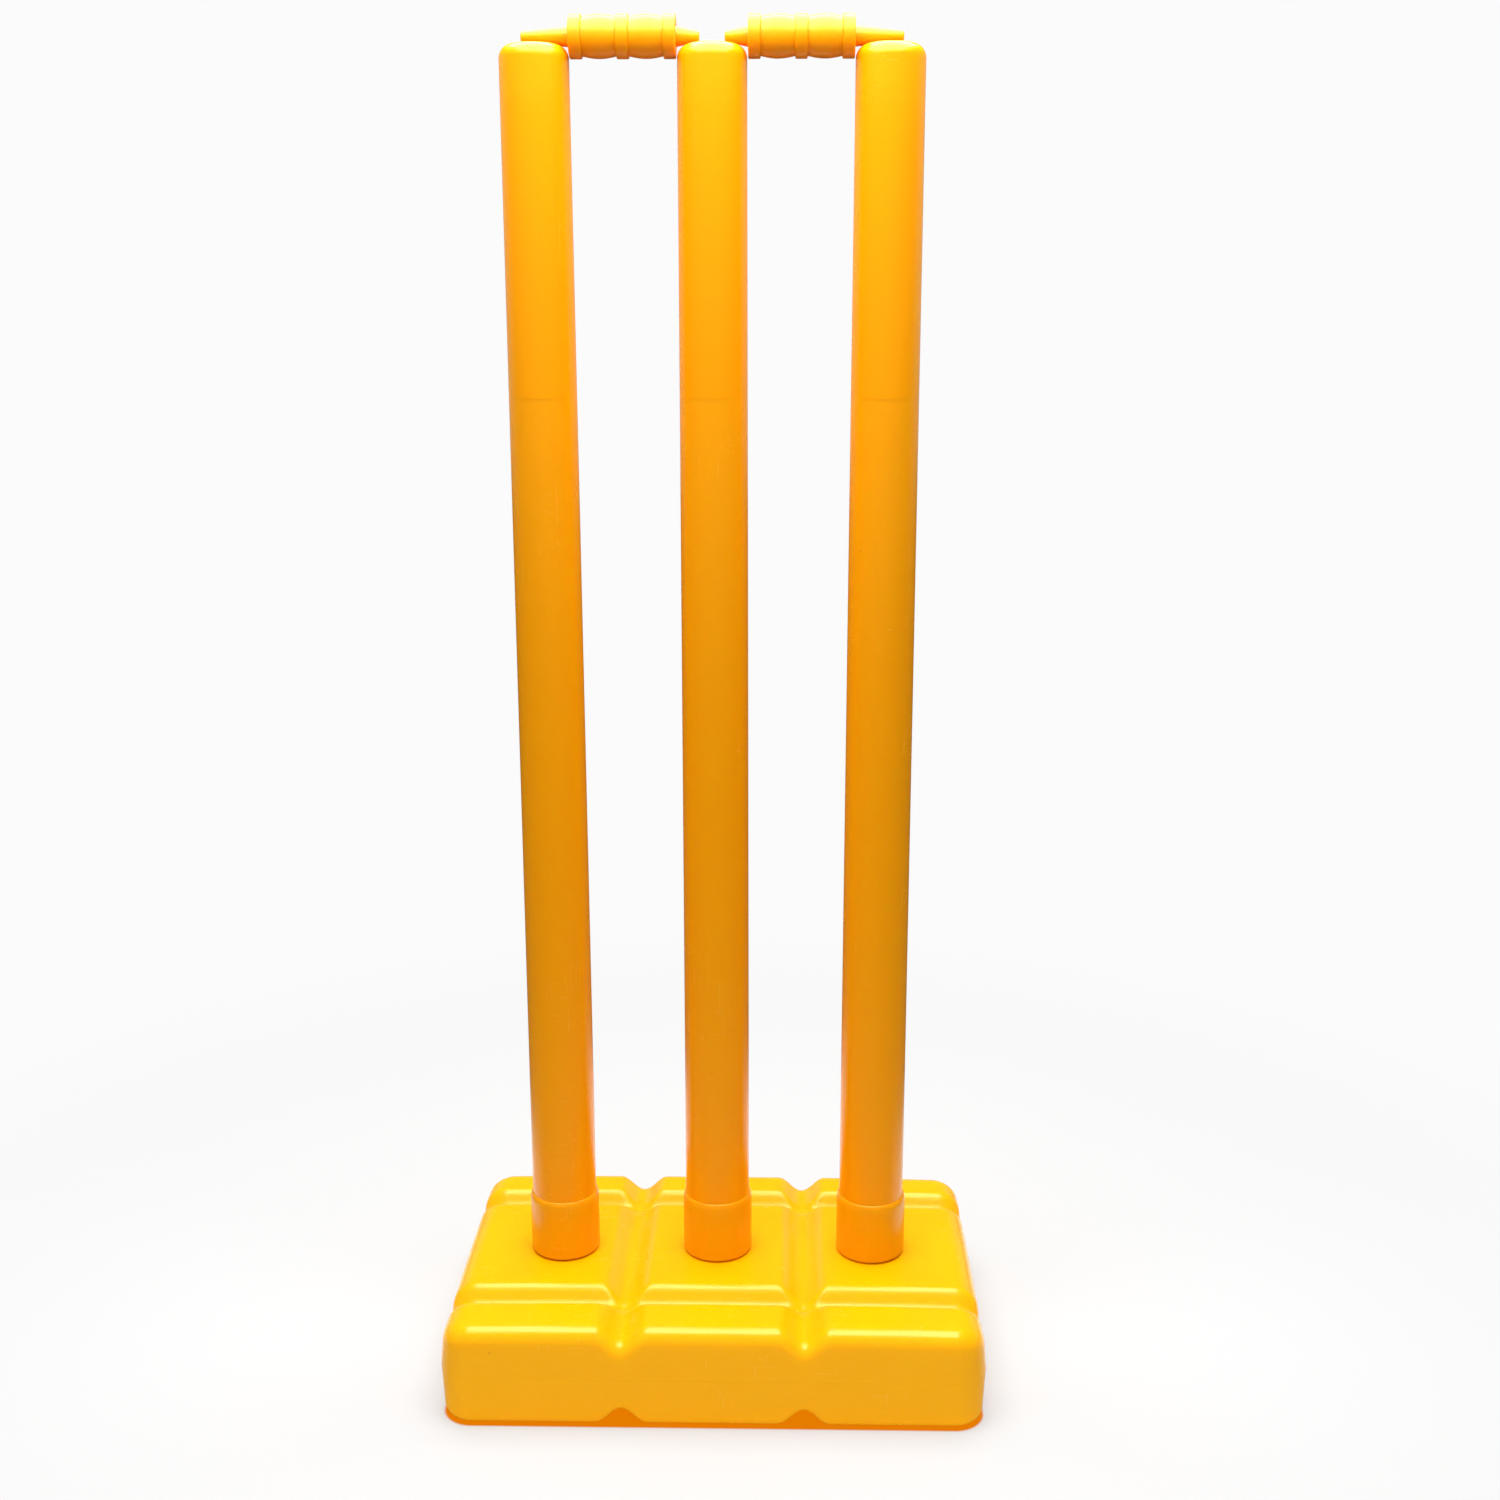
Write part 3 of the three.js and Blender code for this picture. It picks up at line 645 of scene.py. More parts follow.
def lathe_tree():
    tree, given, result = mesh_tree("Lathe", ("Sides", "integer", SMOOTH_SIDES))
    size = add(tree, "GeometryNodeAttributeDomainSize", given["Geometry"], component="MESH")
    points = size.outputs["Point Count"]
    sheet = add(tree, "GeometryNodeMeshGrid", input_Size_X=1.0, input_Size_Y=1.0,
                input_Vertices_X=points, input_Vertices_Y=maths(tree, "ADD", given["Sides"], 1))
    position = add(tree, "GeometryNodeInputPosition").outputs[0]
    flat = add(tree, "ShaderNodeSeparateXYZ", position).outputs
    along = maths(tree, "ADD", flat["X"], 0.5)
    last = maths(tree, "SUBTRACT", points, 1)
    column = maths(tree, "ROUND", maths(tree, "MULTIPLY", along, last))
    picked = add(tree, "GeometryNodeSampleIndex", data_type="FLOAT_VECTOR", domain="POINT",
                 input_Geometry=given["Geometry"], input_Value=position, input_Index=column)
    outline = add(tree, "ShaderNodeSeparateXYZ", picked.outputs[0]).outputs
    turn = maths(tree, "MULTIPLY", maths(tree, "ADD", flat["Y"], 0.5), math.tau)
    wrapped = add(tree, "ShaderNodeCombineXYZ",
                  maths(tree, "MULTIPLY", outline["X"], maths(tree, "COSINE", turn)),
                  maths(tree, "MULTIPLY", outline["X"], maths(tree, "SINE", turn)),
                  outline["Z"])
    placed = add(tree, "GeometryNodeSetPosition", input_Geometry=sheet.outputs["Mesh"],
                 input_Position=wrapped.outputs[0])
    turned_out = add(tree, "GeometryNodeFlipFaces", placed.outputs[0])
    closed = add(tree, "GeometryNodeMergeByDistance", input_Geometry=turned_out.outputs[0],
                 input_Distance=SEAM_DISTANCE)
    return end_tree(tree, closed.outputs[0], given, result)


LATHE = lathe_tree()
print(LATHE.name, len(LATHE.nodes), "nodes")

# %% [markdown]
# From a tree to a piece
#
# Each tree works as a modifier. The modifier keeps its inputs under the sockets' identifiers, not
# their names, so a helper looks the identifiers up. The result is turned into a plain mesh at
# once, so that it can be cut, moved and given sharp edges like any other. Rounds in an outline are
# arcs of points, and holes are cut with tools that are turned the same way.

# %% Running a tree
def run_tree(source, tree, **values):
    """Puts a tree on an object, and sets its inputs by their names, through their identifiers."""
    modifier = source.modifiers.new(tree.name, "NODES")
    modifier.node_group = tree
    for item in tree.interface.items_tree:
        key = item.name.replace(" ", "_")
        if item.item_type == "SOCKET" and item.in_out == "INPUT" and key in values:
            modifier[item.identifier] = values[key]


def baked(source, name):
    """A plain mesh object from an object with modifiers; the source is removed."""
    bpy.context.view_layer.update()
    graph = bpy.context.evaluated_depsgraph_get()
    mesh = bpy.data.meshes.new_from_object(source.evaluated_get(graph))
    made = bpy.data.objects.new(name, mesh)
    bpy.context.collection.objects.link(made)
    bpy.data.objects.remove(source)
    mesh.name = name
    return made


def turned(name, outline, sides, material, move=None):
    """A turned solid about Z from an outline of (radius, height), from the bottom up."""
    vertices = [(radius, 0, height) for radius, height in outline]
    profile = mesh_object(name + "_profile", vertices, [])
    run_tree(profile, LATHE, Sides=sides, Material=material)
    made = baked(profile, name)
    if move is not None:
        made.data.transform(move)
    return made


# %% Arcs and cuts
ARC_STEPS = 8


def arc(middle_r, middle_z, radius, start, end, steps=ARC_STEPS):
    """Points of a round from one angle to another, in degrees."""
    angles = [math.radians(start + (end - start) * step / steps) for step in range(steps + 1)]
    return [(middle_r + radius * math.cos(a), middle_z + radius * math.sin(a)) for a in angles]


def on_row(x, z=0):
    """The move from the middle to a place on the row of stumps."""
    return Matrix.Translation((x, ROW_Y, z))


def cut(target, tool, name):
    """Cuts the tool out of the target, and gives the result as a plain mesh."""
    modifier = target.modifiers.new("cut", "BOOLEAN")
    modifier.operation = "DIFFERENCE"
    modifier.solver = "EXACT"
    modifier.object = tool
    made = baked(target, name)
    bpy.data.objects.remove(tool)
    return made


def report(piece):
    print(piece.name, len(piece.data.polygons), "faces,", len(piece.data.vertices), "points")


print("a quarter round has", len(arc(0, 0, 1, 0, 90)), "points")

# %% [markdown]
# Grids with round corners
#
# The base and the clear films start as rectangles with round corners. Both are a grid of lines.
# Most lines cross the straight part evenly, and a few more at each end hold the corner: there a
# square of lines is drawn in to a quarter of a disc, so that no face is thin or three-sided.

# %% Round-cornered grids
def grid_marks(reach, count, corner_steps):
    """Grid lines along one axis, as a place on the straight part and a share of the corner."""
    marks = [(-reach, -step / corner_steps) for step in range(corner_steps, 0, -1)]
    marks += [(-reach + 2 * reach * step / count, 0) for step in range(count + 1)]
    marks += [(reach, step / corner_steps) for step in range(1, corner_steps + 1)]
    return marks


def grid_point(mark_x, mark_y, radius_x, radius_y):
    """Where two grid lines cross, on a rectangle with round corners."""
    (at_x, share_x), (at_y, share_y) = mark_x, mark_y
    return (at_x + radius_x * share_x * math.sqrt(1 - share_y ** 2 / 2),
            at_y + radius_y * share_y * math.sqrt(1 - share_x ** 2 / 2))


def grid_faces(columns, rows, start=0):
    """The faces between a grid's points, which are numbered row by row from the start."""
    corners = [start + row * columns + column
               for row in range(rows - 1) for column in range(columns - 1)]
    return [(corner, corner + 1, corner + columns + 1, corner + columns) for corner in corners]


outermost = grid_point((0, 1), (0, 1), 1, 1)
print("the corner of the square is drawn in to", round(math.hypot(*outermost), 3), "radii")

# %% [markdown]
# The base
#
# The base is a shallow box with rounded edges, crossed by rounded channels on top and underneath
# that stiffen its thin walls. The channels follow one rule, so the box is made plain and pressed
# by a node tree: each point knows how far it lies below the surface, and the tree finds the
# surface above it from the crown and the channels. Channels that cross run into each other
# softly, which a boolean cut couldn't do. The top edge is rounder at the ends and the back than
# at the front, where the photograph shows its pale line close under the edge.

# %% Base sizes
CROSS_CHANNEL_SHARE = 0.56
CROSS_CHANNEL_WIDTH = mm(31)
CROSS_CHANNEL_DEPTH = mm(9.5)
LONG_CHANNEL_SHARE = 0.587
LONG_CHANNEL_WIDTH = mm(23)
LONG_CHANNEL_DEPTH = mm(8.8)
BASE_CROWN = mm(1.7)
BASE_END_FALL = mm(1.4)
END_TOP_ROUND = mm(14.5)
BACK_TOP_ROUND = mm(14.5)
FRONT_TOP_ROUND = mm(9)
BOTTOM_ROUND = mm(7)
DRAFT_INSET = mm(1.2)
CHANNEL_BLEND = 4.0
print("channels", round(CROSS_CHANNEL_DEPTH * 1000, 1), "and", round(LONG_CHANNEL_DEPTH * 1000, 1),
      "mm deep")

# %% Base rounds
ROUND_STEPS = 8


def blank_rings(skin):
    """From the top edge to the bottom edge: insets and drops at the ends, front and back, and the
    surface that each ring belongs to."""
    quarter = [math.pi / 2 * step / ROUND_STEPS for step in range(ROUND_STEPS + 1)]

    def rounded(angle, surface, *rounds):
        insets = [DRAFT_INSET + (size - skin) * (1 - math.sin(angle)) for size in rounds]
        drops = [(size - skin) * (1 - math.cos(angle)) for size in rounds]
        return insets, drops, surface

    tops = (END_TOP_ROUND, FRONT_TOP_ROUND, BACK_TOP_ROUND)
    rings = [rounded(angle, 1, *tops) for angle in quarter]
    rings.append(((0, 0, 0), (0, 0, 0), 0))
    rings += [rounded(angle, -1, *[BOTTOM_ROUND] * 3) for angle in reversed(quarter)]
    return rings


print("rings round the edge of the base:", len(blank_rings(0)))

# %% Base blank
GRID_STEP = mm(2)
CORNER_STEPS = 10
NEVER_ZERO = 1e-9


def base_blank(name, skin):
    """The unpressed block, skin metres inside the outside, with each point's drop and surface."""
    marks_x, marks_y = [
        grid_marks(reach, math.ceil(2 * reach / GRID_STEP), CORNER_STEPS)
        for reach in (BASE_WIDTH / 2 - CORNER_RADIUS, BASE_DEPTH / 2 - CORNER_RADIUS)]
    points, drops, surfaces, faces = [], [], [], []

    def add_point(column, row, ring):
        insets, ring_drops, surface = ring
        share_x, (at_y, share_y) = marks_x[column][1], marks_y[row]
        long_side = 1 if at_y < 0 else 2
        end_drop, long_drop = ring_drops[0], ring_drops[long_side]
        radius = CORNER_RADIUS - skin
        points.append((*grid_point(marks_x[column], marks_y[row], radius - insets[0],
                                   radius - insets[long_side]), 0))
        turned_share = share_x ** 2 / max(share_x ** 2 + share_y ** 2, NEVER_ZERO)
        drops.append(long_drop + (end_drop - long_drop) * turned_share)
        surfaces.append(surface)
        return len(points) - 1

    columns, rows = len(marks_x), len(marks_y)
    rings = blank_rings(skin)
    lids = []
    for ring, upward in ((rings[0], True), (rings[-1], False)):
        lid_faces = grid_faces(columns, rows, start=len(points))
        faces += lid_faces if upward else [face[::-1] for face in lid_faces]
        lids.append([[add_point(column, row, ring) for column in range(columns)]
                     for row in range(rows)])

    edge = [(column, 0) for column in range(columns - 1)]
    edge += [(columns - 1, row) for row in range(rows - 1)]
    edge += [(column, rows - 1) for column in range(columns - 1, 0, -1)]
    edge += [(0, row) for row in range(rows - 1, 0, -1)]
    loops = [[lids[0][row][column] for column, row in edge]]
    loops += [[add_point(column, row, ring) for column, row in edge] for ring in rings[1:-1]]
    loops.append([lids[1][row][column] for column, row in edge])
    for upper, lower in zip(loops, loops[1:]):
        for place in range(len(edge)):
            after = (place + 1) % len(edge)
            faces.append((upper[place], lower[place], lower[after], upper[after]))

    blank = mesh_object(name, points, faces)
    for key, values in (("drop", drops), ("surface", surfaces)):
        attribute = blank.data.attributes.new(key, "FLOAT", "POINT")
        attribute.data.foreach_set("value", np.array(values, dtype=np.float32))
    return blank


print("grid lines at most", round(GRID_STEP * 1000, 1), "mm apart where the base is straight")

# %% Geometry Nodes: press the channels
END_FALL_POWER = 4.0


def press_tree():
    """Lowers the top and raises the bottom of the block into their channels.

    A point's drop is how far its edge round takes it from the surface. Its surface is 1 for the
    top, -1 for the bottom and 0 for the parting line round the middle.
    """
    numbers = ("Height", "Half Width", "Half Depth", "Crown", "End Fall", "Skin", "Parting",
               "Cross Place", "Cross Width", "Cross Depth", "Long Place", "Long Width",
               "Long Depth", "Blend")
    tree, given, result = mesh_tree(
        "Press Channels", *[(name, "float", None) for name in numbers])
    position = add(tree, "GeometryNodeInputPosition").outputs[0]
    place = add(tree, "ShaderNodeSeparateXYZ", position).outputs

    def channel(along, kind):
        """How deep the two channels of one kind are at this point."""
        half = maths(tree, "ADD", maths(tree, "DIVIDE", given[kind + " Width"], 2.0),
                     given["Skin"])
        offset = maths(tree, "SUBTRACT", maths(tree, "ABSOLUTE", along), given[kind + " Place"])
        share = maths(tree, "ABSOLUTE", maths(tree, "DIVIDE", offset, half))
        share = maths(tree, "MINIMUM", share, 1.0)
        wave = maths(tree, "COSINE", maths(tree, "MULTIPLY", share, math.pi))
        valley = maths(tree, "MULTIPLY_ADD", wave, 0.5, 0.5)
        return maths(tree, "MULTIPLY", valley, given[kind + " Depth"])

    both = maths(tree, "ADD",
                 maths(tree, "POWER", channel(place["X"], "Cross"), given["Blend"]),
                 maths(tree, "POWER", channel(place["Y"], "Long"), given["Blend"]))
    depth = maths(tree, "POWER", both, maths(tree, "DIVIDE", 1.0, given["Blend"]))
    reach = maths(tree, "DIVIDE", place["Y"], given["Half Depth"])
    fall = maths(tree, "MULTIPLY", maths(tree, "MULTIPLY", reach, reach), given["Crown"])
    end_reach = maths(tree, "ABSOLUTE", maths(tree, "DIVIDE", place["X"], given["Half Width"]))
    end_fall = maths(tree, "POWER", end_reach, END_FALL_POWER)
    fall = maths(tree, "MULTIPLY_ADD", end_fall, given["End Fall"], fall)

    drop, surface = [
        add(tree, "GeometryNodeInputNamedAttribute", data_type="FLOAT", input_Name=name).outputs[0]
        for name in ("drop", "surface")]
    below = maths(tree, "ADD", maths(tree, "ADD", depth, drop), given["Skin"])
    top = maths(tree, "SUBTRACT", maths(tree, "SUBTRACT", given["Height"], fall), below)
    is_top = maths(tree, "GREATER_THAN", surface, 0.5)
    is_bottom = maths(tree, "LESS_THAN", surface, -0.5)
    is_side = maths(tree, "SUBTRACT", maths(tree, "SUBTRACT", 1.0, is_top), is_bottom)
    level = maths(tree, "MULTIPLY", is_top, top)
    level = maths(tree, "MULTIPLY_ADD", is_bottom, below, level)
    level = maths(tree, "MULTIPLY_ADD", is_side, given["Parting"], level)
    moved = add(tree, "ShaderNodeCombineXYZ", place["X"], place["Y"], level)
    pressed = add(tree, "GeometryNodeSetPosition", input_Geometry=given["Geometry"],
                  input_Position=moved.outputs[0])
    return end_tree(tree, pressed.outputs[0], given, result)


PRESS = press_tree()
print(PRESS.name, len(PRESS.nodes), "nodes")


# %% The pressed block
def pressed_block(name, skin):
    """The block with its channels, skin metres inside the outside of the base."""
    blank = base_blank(name + "_blank", skin)
    pitch = STUMP_X["right"] - STUMP_X["middle"]
    run_tree(
        blank, PRESS, Height=BASE_HEIGHT, Half_Width=BASE_WIDTH / 2, Half_Depth=BASE_DEPTH / 2,
        Crown=BASE_CROWN, End_Fall=BASE_END_FALL, Skin=skin,
        Parting=BASE_HEIGHT * PARTING_SHARE, Cross_Place=pitch * CROSS_CHANNEL_SHARE,
        Cross_Width=CROSS_CHANNEL_WIDTH, Cross_Depth=CROSS_CHANNEL_DEPTH,
        Long_Place=BASE_DEPTH / 2 * LONG_CHANNEL_SHARE, Long_Width=LONG_CHANNEL_WIDTH,
        Long_Depth=LONG_CHANNEL_DEPTH, Blend=CHANNEL_BLEND, Material=base_plastic,
    )
    return baked(blank, name)


base = pressed_block("base", 0)
report(base)

# %% [markdown]
# Hollow, sockets and filling neck
#
# The base is a blown shell with three cups hanging from its top and a short neck at the back. A
# boolean cut needs the shape of the air inside, so the same block is pressed again one wall
# smaller, turned tools take the cups and the neck out of it, and what is left is cut out of the
# base. Then turned tools cut each cup's bore with its rounded mouth, and the neck's: a shallow
# seat for the head of the plug, and the hole behind it that opens into the hollow.

# %% The hollow
BASE_WALL = mm(3)
SPIGOT_RADIUS = mm(16.5)
CLEARANCE = mm(0.3)
FLOOR_ROUND = mm(3)
OVERRUN = mm(4)
NECK_RADIUS = mm(10)
NECK_LENGTH = mm(16)
PLUG_Z = (plug_low.z + plug_high.z) / 2
PLUG_HEAD_RADIUS = (plug_high.z - plug_low.z) / 2
PLUG_HEAD_THICKNESS = mm(3.5)
PLUG_SEAT_Y = plug_high.y - PLUG_HEAD_THICKNESS - CLEARANCE
TO_NECK = Matrix.Translation((0, 0, PLUG_Z)) @ Matrix.Rotation(math.radians(-90), 4, "X")
TOOL_SIDES = 72
NECK_SIDES = 64


def cup(x):
    """The outside of a socket, which hangs into the hollow."""
    radius = SPIGOT_RADIUS + CLEARANCE + BASE_WALL
    foot = stump_low.z - 2 * CLEARANCE - BASE_WALL
    outline = [(0, foot)]
    outline += arc(radius - FLOOR_ROUND, foot + FLOOR_ROUND, FLOOR_ROUND, -90, 0)
    outline += [(radius, BASE_HEIGHT + OVERRUN), (0, BASE_HEIGHT + OVERRUN)]
    return turned("cup", outline, TOOL_SIDES, base_plastic, on_row(x))


def neck():
    """The outside of the filling neck, which stands into the hollow."""
    seat_r = PLUG_HEAD_RADIUS + CLEARANCE + BASE_WALL
    outline = [(0, PLUG_SEAT_Y - NECK_LENGTH),
               (NECK_RADIUS + BASE_WALL, PLUG_SEAT_Y - NECK_LENGTH),
               (NECK_RADIUS + BASE_WALL, PLUG_SEAT_Y - BASE_WALL),
               (seat_r, PLUG_SEAT_Y - BASE_WALL),
               (seat_r, base_high.y + OVERRUN), (0, base_high.y + OVERRUN)]
    return turned("neck", outline, NECK_SIDES, base_plastic, TO_NECK)


air = pressed_block("air", BASE_WALL)
for x in STUMP_X.values():
    air = cut(air, cup(x), "air")
air = cut(air, neck(), "air")
base = cut(base, air, "base")
report(base)


# %% Sockets
SOCKET_MOUTH_ROUND = mm(1.5)


def socket_tool(x):
    radius = SPIGOT_RADIUS + CLEARANCE
    floor_z = stump_low.z - 2 * CLEARANCE
    mouth_r = radius + SOCKET_MOUTH_ROUND
    outline = [(0, floor_z)]
    outline += arc(radius - FLOOR_ROUND, floor_z + FLOOR_ROUND, FLOOR_ROUND, -90, 0)
    outline += arc(mouth_r, BASE_HEIGHT - SOCKET_MOUTH_ROUND, SOCKET_MOUTH_ROUND, 180, 90)
    outline += [(mouth_r, BASE_HEIGHT + OVERRUN), (0, BASE_HEIGHT + OVERRUN)]
    return turned("socket_tool", outline, TOOL_SIDES, base_plastic, on_row(x))


for x in STUMP_X.values():
    base = cut(base, socket_tool(x), "base")
report(base)

# %% Filling neck
BASE_SHARP_ANGLE = math.radians(38)


def neck_tool():
    hole_end = PLUG_SEAT_Y - NECK_LENGTH - OVERRUN
    outline = [(0, hole_end), (NECK_RADIUS, hole_end), (NECK_RADIUS, PLUG_SEAT_Y),
               (PLUG_HEAD_RADIUS + CLEARANCE, PLUG_SEAT_Y),
               (PLUG_HEAD_RADIUS + CLEARANCE, base_high.y + OVERRUN),
               (0, base_high.y + OVERRUN)]
    return turned("neck_tool", outline, NECK_SIDES, base_plastic, TO_NECK)


base = cut(base, neck_tool(), "base_moulding")
base.data.set_sharp_from_angle(angle=BASE_SHARP_ANGLE)
report(base)
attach(base, "base")
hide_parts("base_shell")

# %% [markdown]
# The stumps
#
# A stump is blown in a split mould. It is round, and tapers by a millimetre and a half over its
# length. Its foot swells into a collar that stands on the base: a crisp line on top, a soft
# shoulder under it, then straight down. The top is rounded like a fingertip, with a shallow groove
# for the bails.

# %% Stump outline
STUMP_TOP_RADIUS = mm(18.8)
STUMP_FOOT_RADIUS = mm(19.6)
COLLAR_RADIUS = (stump_high.x - stump_low.x) / 2
SHOULDER_HEIGHT = mm(4.8)
COLLAR_EDGE_ROUND = mm(2)
TOP_EDGE_ROUND = mm(7.5)
TOP_DOME = mm(0.5)
SPIGOT_TAPER = mm(0.4)
VENT_RADIUS = mm(4)
STUMP_WALL = mm(2.2)
STUMP_TOP_WALL = mm(5.5)
FINE_ARC_STEPS = 12


def shoulder(low_z, steps=FINE_ARC_STEPS):
    """From the collar in to the stump: a quarter of an upright ellipse, flat at the crease."""
    inset = COLLAR_RADIUS - STUMP_FOOT_RADIUS
    angles = [math.pi / 2 * step / steps for step in range(steps + 1)]
    return [(STUMP_FOOT_RADIUS + inset * math.cos(a), low_z + SHOULDER_HEIGHT * math.sin(a))
            for a in angles]


def stump_outline():
    """Up the outside from the vent hole in the foot, over the top, and down the inside."""
    foot, top = stump_low.z, stump_high.z
    seat = BASE_HEIGHT + CLEARANCE
    foot_r = SPIGOT_RADIUS - SPIGOT_TAPER
    shoulder_z = top - TOP_DOME - TOP_EDGE_ROUND
    outline = [(VENT_RADIUS, foot)]
    outline += arc(foot_r - FLOOR_ROUND, foot + FLOOR_ROUND, FLOOR_ROUND, -90, 0)
    outline += [(SPIGOT_RADIUS, seat)]
    outline += arc(COLLAR_RADIUS - COLLAR_EDGE_ROUND, seat + COLLAR_EDGE_ROUND,
                   COLLAR_EDGE_ROUND, -90, 0)
    outline += shoulder(COLLAR_TOP - SHOULDER_HEIGHT)
    outline += arc(STUMP_TOP_RADIUS - TOP_EDGE_ROUND, shoulder_z, TOP_EDGE_ROUND, 0, 90,
                   FINE_ARC_STEPS)
    outline += [(0, top), (0, top - STUMP_TOP_WALL)]
    outline += [(STUMP_TOP_RADIUS - TOP_EDGE_ROUND, top - STUMP_TOP_WALL),
                (STUMP_TOP_RADIUS - STUMP_WALL, top - 2 * STUMP_TOP_WALL),
                (STUMP_FOOT_RADIUS - STUMP_WALL, COLLAR_TOP),
                (SPIGOT_RADIUS - STUMP_WALL, seat + STUMP_WALL),
                (SPIGOT_RADIUS - STUMP_WALL - SPIGOT_TAPER, foot + STUMP_WALL),
                (VENT_RADIUS, foot + STUMP_WALL), (VENT_RADIUS, foot)]
    return outline


print("stump outline:", len(stump_outline()), "points")

# %% Stumps with bail grooves
STUMP_SIDES = 128
SHARP_ANGLE = math.radians(34)
BAIL_AXIS_Z = (bail_low.z + bail_high.z) / 2
BAIL_SPIGOT_RADIUS = mm(5.3)
ALONG_X = Matrix.Rotation(math.radians(90), 4, "Y")


def groove_tool(x):
    radius = BAIL_SPIGOT_RADIUS + CLEARANCE
    half = COLLAR_RADIUS + OVERRUN
    outline = [(0, -half), (radius, -half), (radius, half), (0, half)]
    return turned("groove_tool", outline, SMOOTH_SIDES, stump_plastic,
                  on_row(x, BAIL_AXIS_Z) @ ALONG_X)


for side, x in STUMP_X.items():
    tube = turned("tube", stump_outline(), STUMP_SIDES, stump_plastic, on_row(x))
    stump = cut(tube, groove_tool(x), "stump_" + side + "_moulding")
    stump.data.set_sharp_from_angle(angle=SHARP_ANGLE)
    report(stump)
    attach(stump, side + "_stump")
    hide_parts("stump_" + side)

# %% [markdown]
# The clear films
#
# On the front of each stump, near the top, a strip of clear film is stuck over the plastic. It has
# hardly any thickness, but its edges catch a little light, and the plastic under it looks a shade
# deeper. A flat sheet with rounded corners is bent round the stump by a node tree, then given its
# thickness, so its size can be set as if it were flat.

# %% Geometry Nodes: wrap on the stump
def wrap_tree():
    numbers = ("Foot Radius", "Top Radius", "Foot Height", "Top Height", "Lift", "Turn")
    tree, given, result = mesh_tree(
        "Wrap On Stump", *[(name, "float", None) for name in numbers])
    position = add(tree, "GeometryNodeInputPosition").outputs[0]
    flat = add(tree, "ShaderNodeSeparateXYZ", position).outputs
    climb = maths(tree, "SUBTRACT", flat["Z"], given["Foot Height"])
    rise = maths(tree, "SUBTRACT", given["Top Height"], given["Foot Height"])
    narrow = maths(tree, "SUBTRACT", given["Top Radius"], given["Foot Radius"])
    radius = maths(tree, "MULTIPLY_ADD", maths(tree, "DIVIDE", climb, rise), narrow,
                   given["Foot Radius"])
    radius = maths(tree, "ADD", radius, given["Lift"])
    angle = maths(tree, "ADD", maths(tree, "DIVIDE", flat["X"], radius), given["Turn"])
    towards = maths(tree, "MULTIPLY", maths(tree, "COSINE", angle), -1.0)
    wrapped = add(tree, "ShaderNodeCombineXYZ",
                  maths(tree, "MULTIPLY", radius, maths(tree, "SINE", angle)),
                  maths(tree, "MULTIPLY", radius, towards), flat["Z"])
    placed = add(tree, "GeometryNodeSetPosition", input_Geometry=given["Geometry"],
                 input_Position=wrapped.outputs[0])
    return end_tree(tree, placed.outputs[0], given, result)


WRAP = wrap_tree()
print(WRAP.name, len(WRAP.nodes), "nodes")

# %% Films
FILM_WIDTH = mm(33)
FILM_HEIGHT = mm(154)
FILM_BELOW_TOP = mm(32)
FILM_CORNER = mm(2)
FILM_THICKNESS = mm(0.06)
FILM_COLUMNS = 24
FILM_ROWS = 40
FILM_CORNER_STEPS = 4
FILM_TURN = {"left": -7, "middle": -1.5, "right": 1}


def flat_film():
    """A flat upright sheet facing -Y, with rounded corners."""
    middle_z = stump_high.z - FILM_BELOW_TOP - FILM_HEIGHT / 2
    across = grid_marks(FILM_WIDTH / 2 - FILM_CORNER, FILM_COLUMNS, FILM_CORNER_STEPS)
    up = grid_marks(FILM_HEIGHT / 2 - FILM_CORNER, FILM_ROWS, FILM_CORNER_STEPS)
    points = []
    for mark_z in up:
        for mark_x in across:
            x, z = grid_point(mark_x, mark_z, FILM_CORNER, FILM_CORNER)
            points.append((x, 0, middle_z + z))
    return mesh_object("film_flat", points, grid_faces(len(across), len(up)))


for side, x in STUMP_X.items():
    flat_sheet = flat_film()
    run_tree(flat_sheet, WRAP, Foot_Radius=STUMP_FOOT_RADIUS, Top_Radius=STUMP_TOP_RADIUS,
             Foot_Height=COLLAR_TOP, Top_Height=stump_high.z - TOP_EDGE_ROUND,
             Lift=FILM_THICKNESS, Turn=math.radians(FILM_TURN[side]), Material=film_plastic)
    thicken = flat_sheet.modifiers.new("thickness", "SOLIDIFY")
    thicken.thickness = FILM_THICKNESS
    thicken.offset = 0
    film = baked(flat_sheet, "film_" + side)
    film.data.transform(on_row(x))
    film.data.set_sharp_from_angle(angle=SHARP_ANGLE)
    report(film)
    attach(film, side + "_stump")

# %% [markdown]
# The bails
#
# A bail looks turned: three rings with a swelling barrel between them, a long spigot outwards and
# a short one inwards, both tapering to a blunt tip. The rings have small rounds at their edges,
# which catch the light. The right bail is the left one turned half round.

# %% Bail outline
BAIL_RING_RADIUS = (bail_high.z - bail_low.z) / 2
BAIL_WAIST_RADIUS = mm(9.9)
BAIL_SWELL_RADIUS = mm(11.2)
BAIL_RING_WIDTH = mm(6.6)
BAIL_RING_ROUND = mm(0.7)
BAIL_LONG_SPIGOT = mm(26)
BAIL_SHORT_SPIGOT = mm(12.5)
BAIL_TIP_RADIUS = mm(2.8)
BAIL_TIP_ROUND = mm(0.9)
BARREL_LENGTH = bail_high.x - bail_low.x - BAIL_LONG_SPIGOT - BAIL_SHORT_SPIGOT
SWELL_STEPS = 14
SMALL_ARC_STEPS = 4


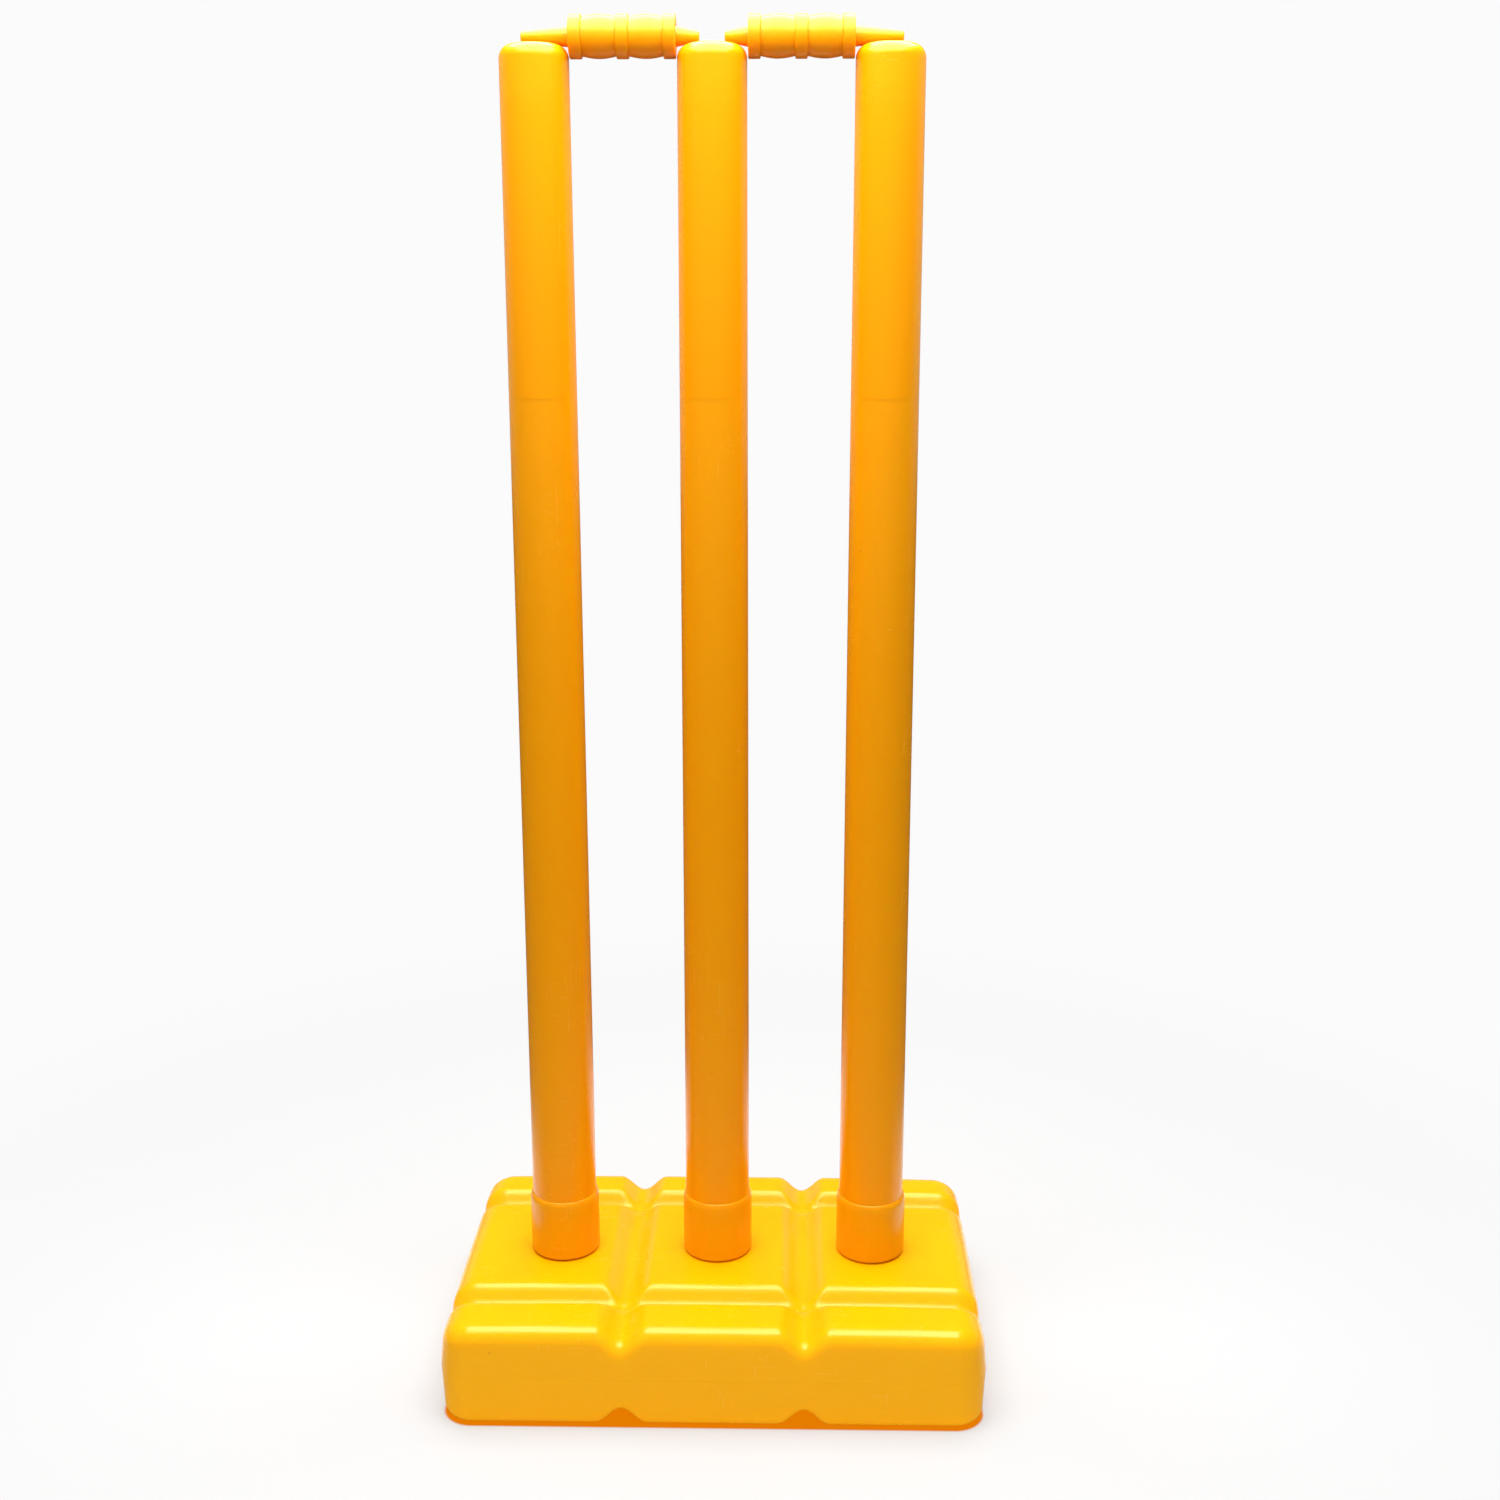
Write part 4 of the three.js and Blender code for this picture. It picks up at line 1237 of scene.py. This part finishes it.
def ring_outline(low):
    middle, high = BAIL_RING_RADIUS - BAIL_RING_ROUND, low + BAIL_RING_WIDTH
    return (arc(middle, low + BAIL_RING_ROUND, BAIL_RING_ROUND, -90, 0, SMALL_ARC_STEPS)
            + arc(middle, high - BAIL_RING_ROUND, BAIL_RING_ROUND, 0, 90, SMALL_ARC_STEPS))


def swell_outline(low, high):
    points = []
    for step in range(SWELL_STEPS + 1):
        share = step / SWELL_STEPS
        radius = BAIL_WAIST_RADIUS
        radius += (BAIL_SWELL_RADIUS - BAIL_WAIST_RADIUS) * math.sin(math.pi * share)
        points.append((radius, low + (high - low) * share))
    return points


def bail_outline():
    end = BARREL_LENGTH / 2
    tip = BAIL_TIP_RADIUS - BAIL_TIP_ROUND
    long_tip, short_tip = -end - BAIL_LONG_SPIGOT, end + BAIL_SHORT_SPIGOT
    outline = [(0, long_tip)]
    outline += arc(tip, long_tip + BAIL_TIP_ROUND, BAIL_TIP_ROUND, -90, 0, SMALL_ARC_STEPS)
    outline += [(BAIL_SPIGOT_RADIUS, -end)]
    outline += ring_outline(-end)
    outline += swell_outline(-end + BAIL_RING_WIDTH, -BAIL_RING_WIDTH / 2)
    outline += ring_outline(-BAIL_RING_WIDTH / 2)
    outline += swell_outline(BAIL_RING_WIDTH / 2, end - BAIL_RING_WIDTH)
    outline += ring_outline(end - BAIL_RING_WIDTH)
    outline += [(BAIL_SPIGOT_RADIUS, end)]
    outline += arc(tip, short_tip - BAIL_TIP_ROUND, BAIL_TIP_ROUND, 0, 90, SMALL_ARC_STEPS)
    outline += [(0, short_tip)]
    return outline


print("bail outline:", len(bail_outline()), "points")

# %% Bails
for side, turn in (("left", 0), ("right", math.pi)):
    middle_x = (STUMP_X["middle"] + STUMP_X[side]) / 2
    move = on_row(middle_x, BAIL_AXIS_Z) @ Matrix.Rotation(turn, 4, "Z") @ ALONG_X
    bail = turned("bail_" + side + "_moulding", bail_outline(), SMOOTH_SIDES, bail_plastic, move)
    bail.data.set_sharp_from_angle(angle=SHARP_ANGLE)
    report(bail)
    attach(bail, side + "_bail")
    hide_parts("bail_" + side)

# %% [markdown]
# The plug
#
# The bung at the back is a small injection moulding: a flat head that lies flush in its seat, and
# a hollow stem behind it. A notch in its rim lets a coin prise it out.

# %% Plug
PLUG_HEAD_ROUND = mm(1)
PLUG_STEM_RADIUS = NECK_RADIUS - CLEARANCE
PLUG_STEM_WALL = mm(2)
NOTCH_WIDTH = mm(8)
NOTCH_DEPTH = mm(2)


def plug_outline():
    face, back, end = plug_high.y, plug_high.y - PLUG_HEAD_THICKNESS, plug_low.y
    inner = PLUG_STEM_RADIUS - PLUG_STEM_WALL
    outline = [(0, back), (inner, back), (inner, end)]
    outline += arc(PLUG_STEM_RADIUS - PLUG_HEAD_ROUND, end + PLUG_HEAD_ROUND,
                   PLUG_HEAD_ROUND, -90, 0, SMALL_ARC_STEPS)
    outline += [(PLUG_STEM_RADIUS, back), (PLUG_HEAD_RADIUS, back)]
    outline += arc(PLUG_HEAD_RADIUS - PLUG_HEAD_ROUND, face - PLUG_HEAD_ROUND,
                   PLUG_HEAD_ROUND, 0, 90, SMALL_ARC_STEPS)
    outline += [(0, face)]
    return outline


def notch_tool():
    x, low_z, high_z = NOTCH_WIDTH / 2, plug_high.z - NOTCH_DEPTH, plug_high.z + NOTCH_DEPTH
    low_y, high_y = plug_high.y - PLUG_HEAD_THICKNESS / 2, plug_high.y + OVERRUN
    corners = [(i, j, k) for k in (low_z, high_z) for j in (low_y, high_y) for i in (-x, x)]
    faces = [(0, 2, 3, 1), (4, 5, 7, 6), (0, 1, 5, 4), (2, 6, 7, 3), (0, 4, 6, 2), (1, 3, 7, 5)]
    return mesh_object("notch_tool", corners, faces)


plug = turned("plug_blank", plug_outline(), TOOL_SIDES, plug_plastic, TO_NECK)
plug = cut(plug, notch_tool(), "plug_moulding")
plug.data.set_sharp_from_angle(angle=SHARP_ANGLE)
report(plug)
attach(plug, "plug")
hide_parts("fill_plug")
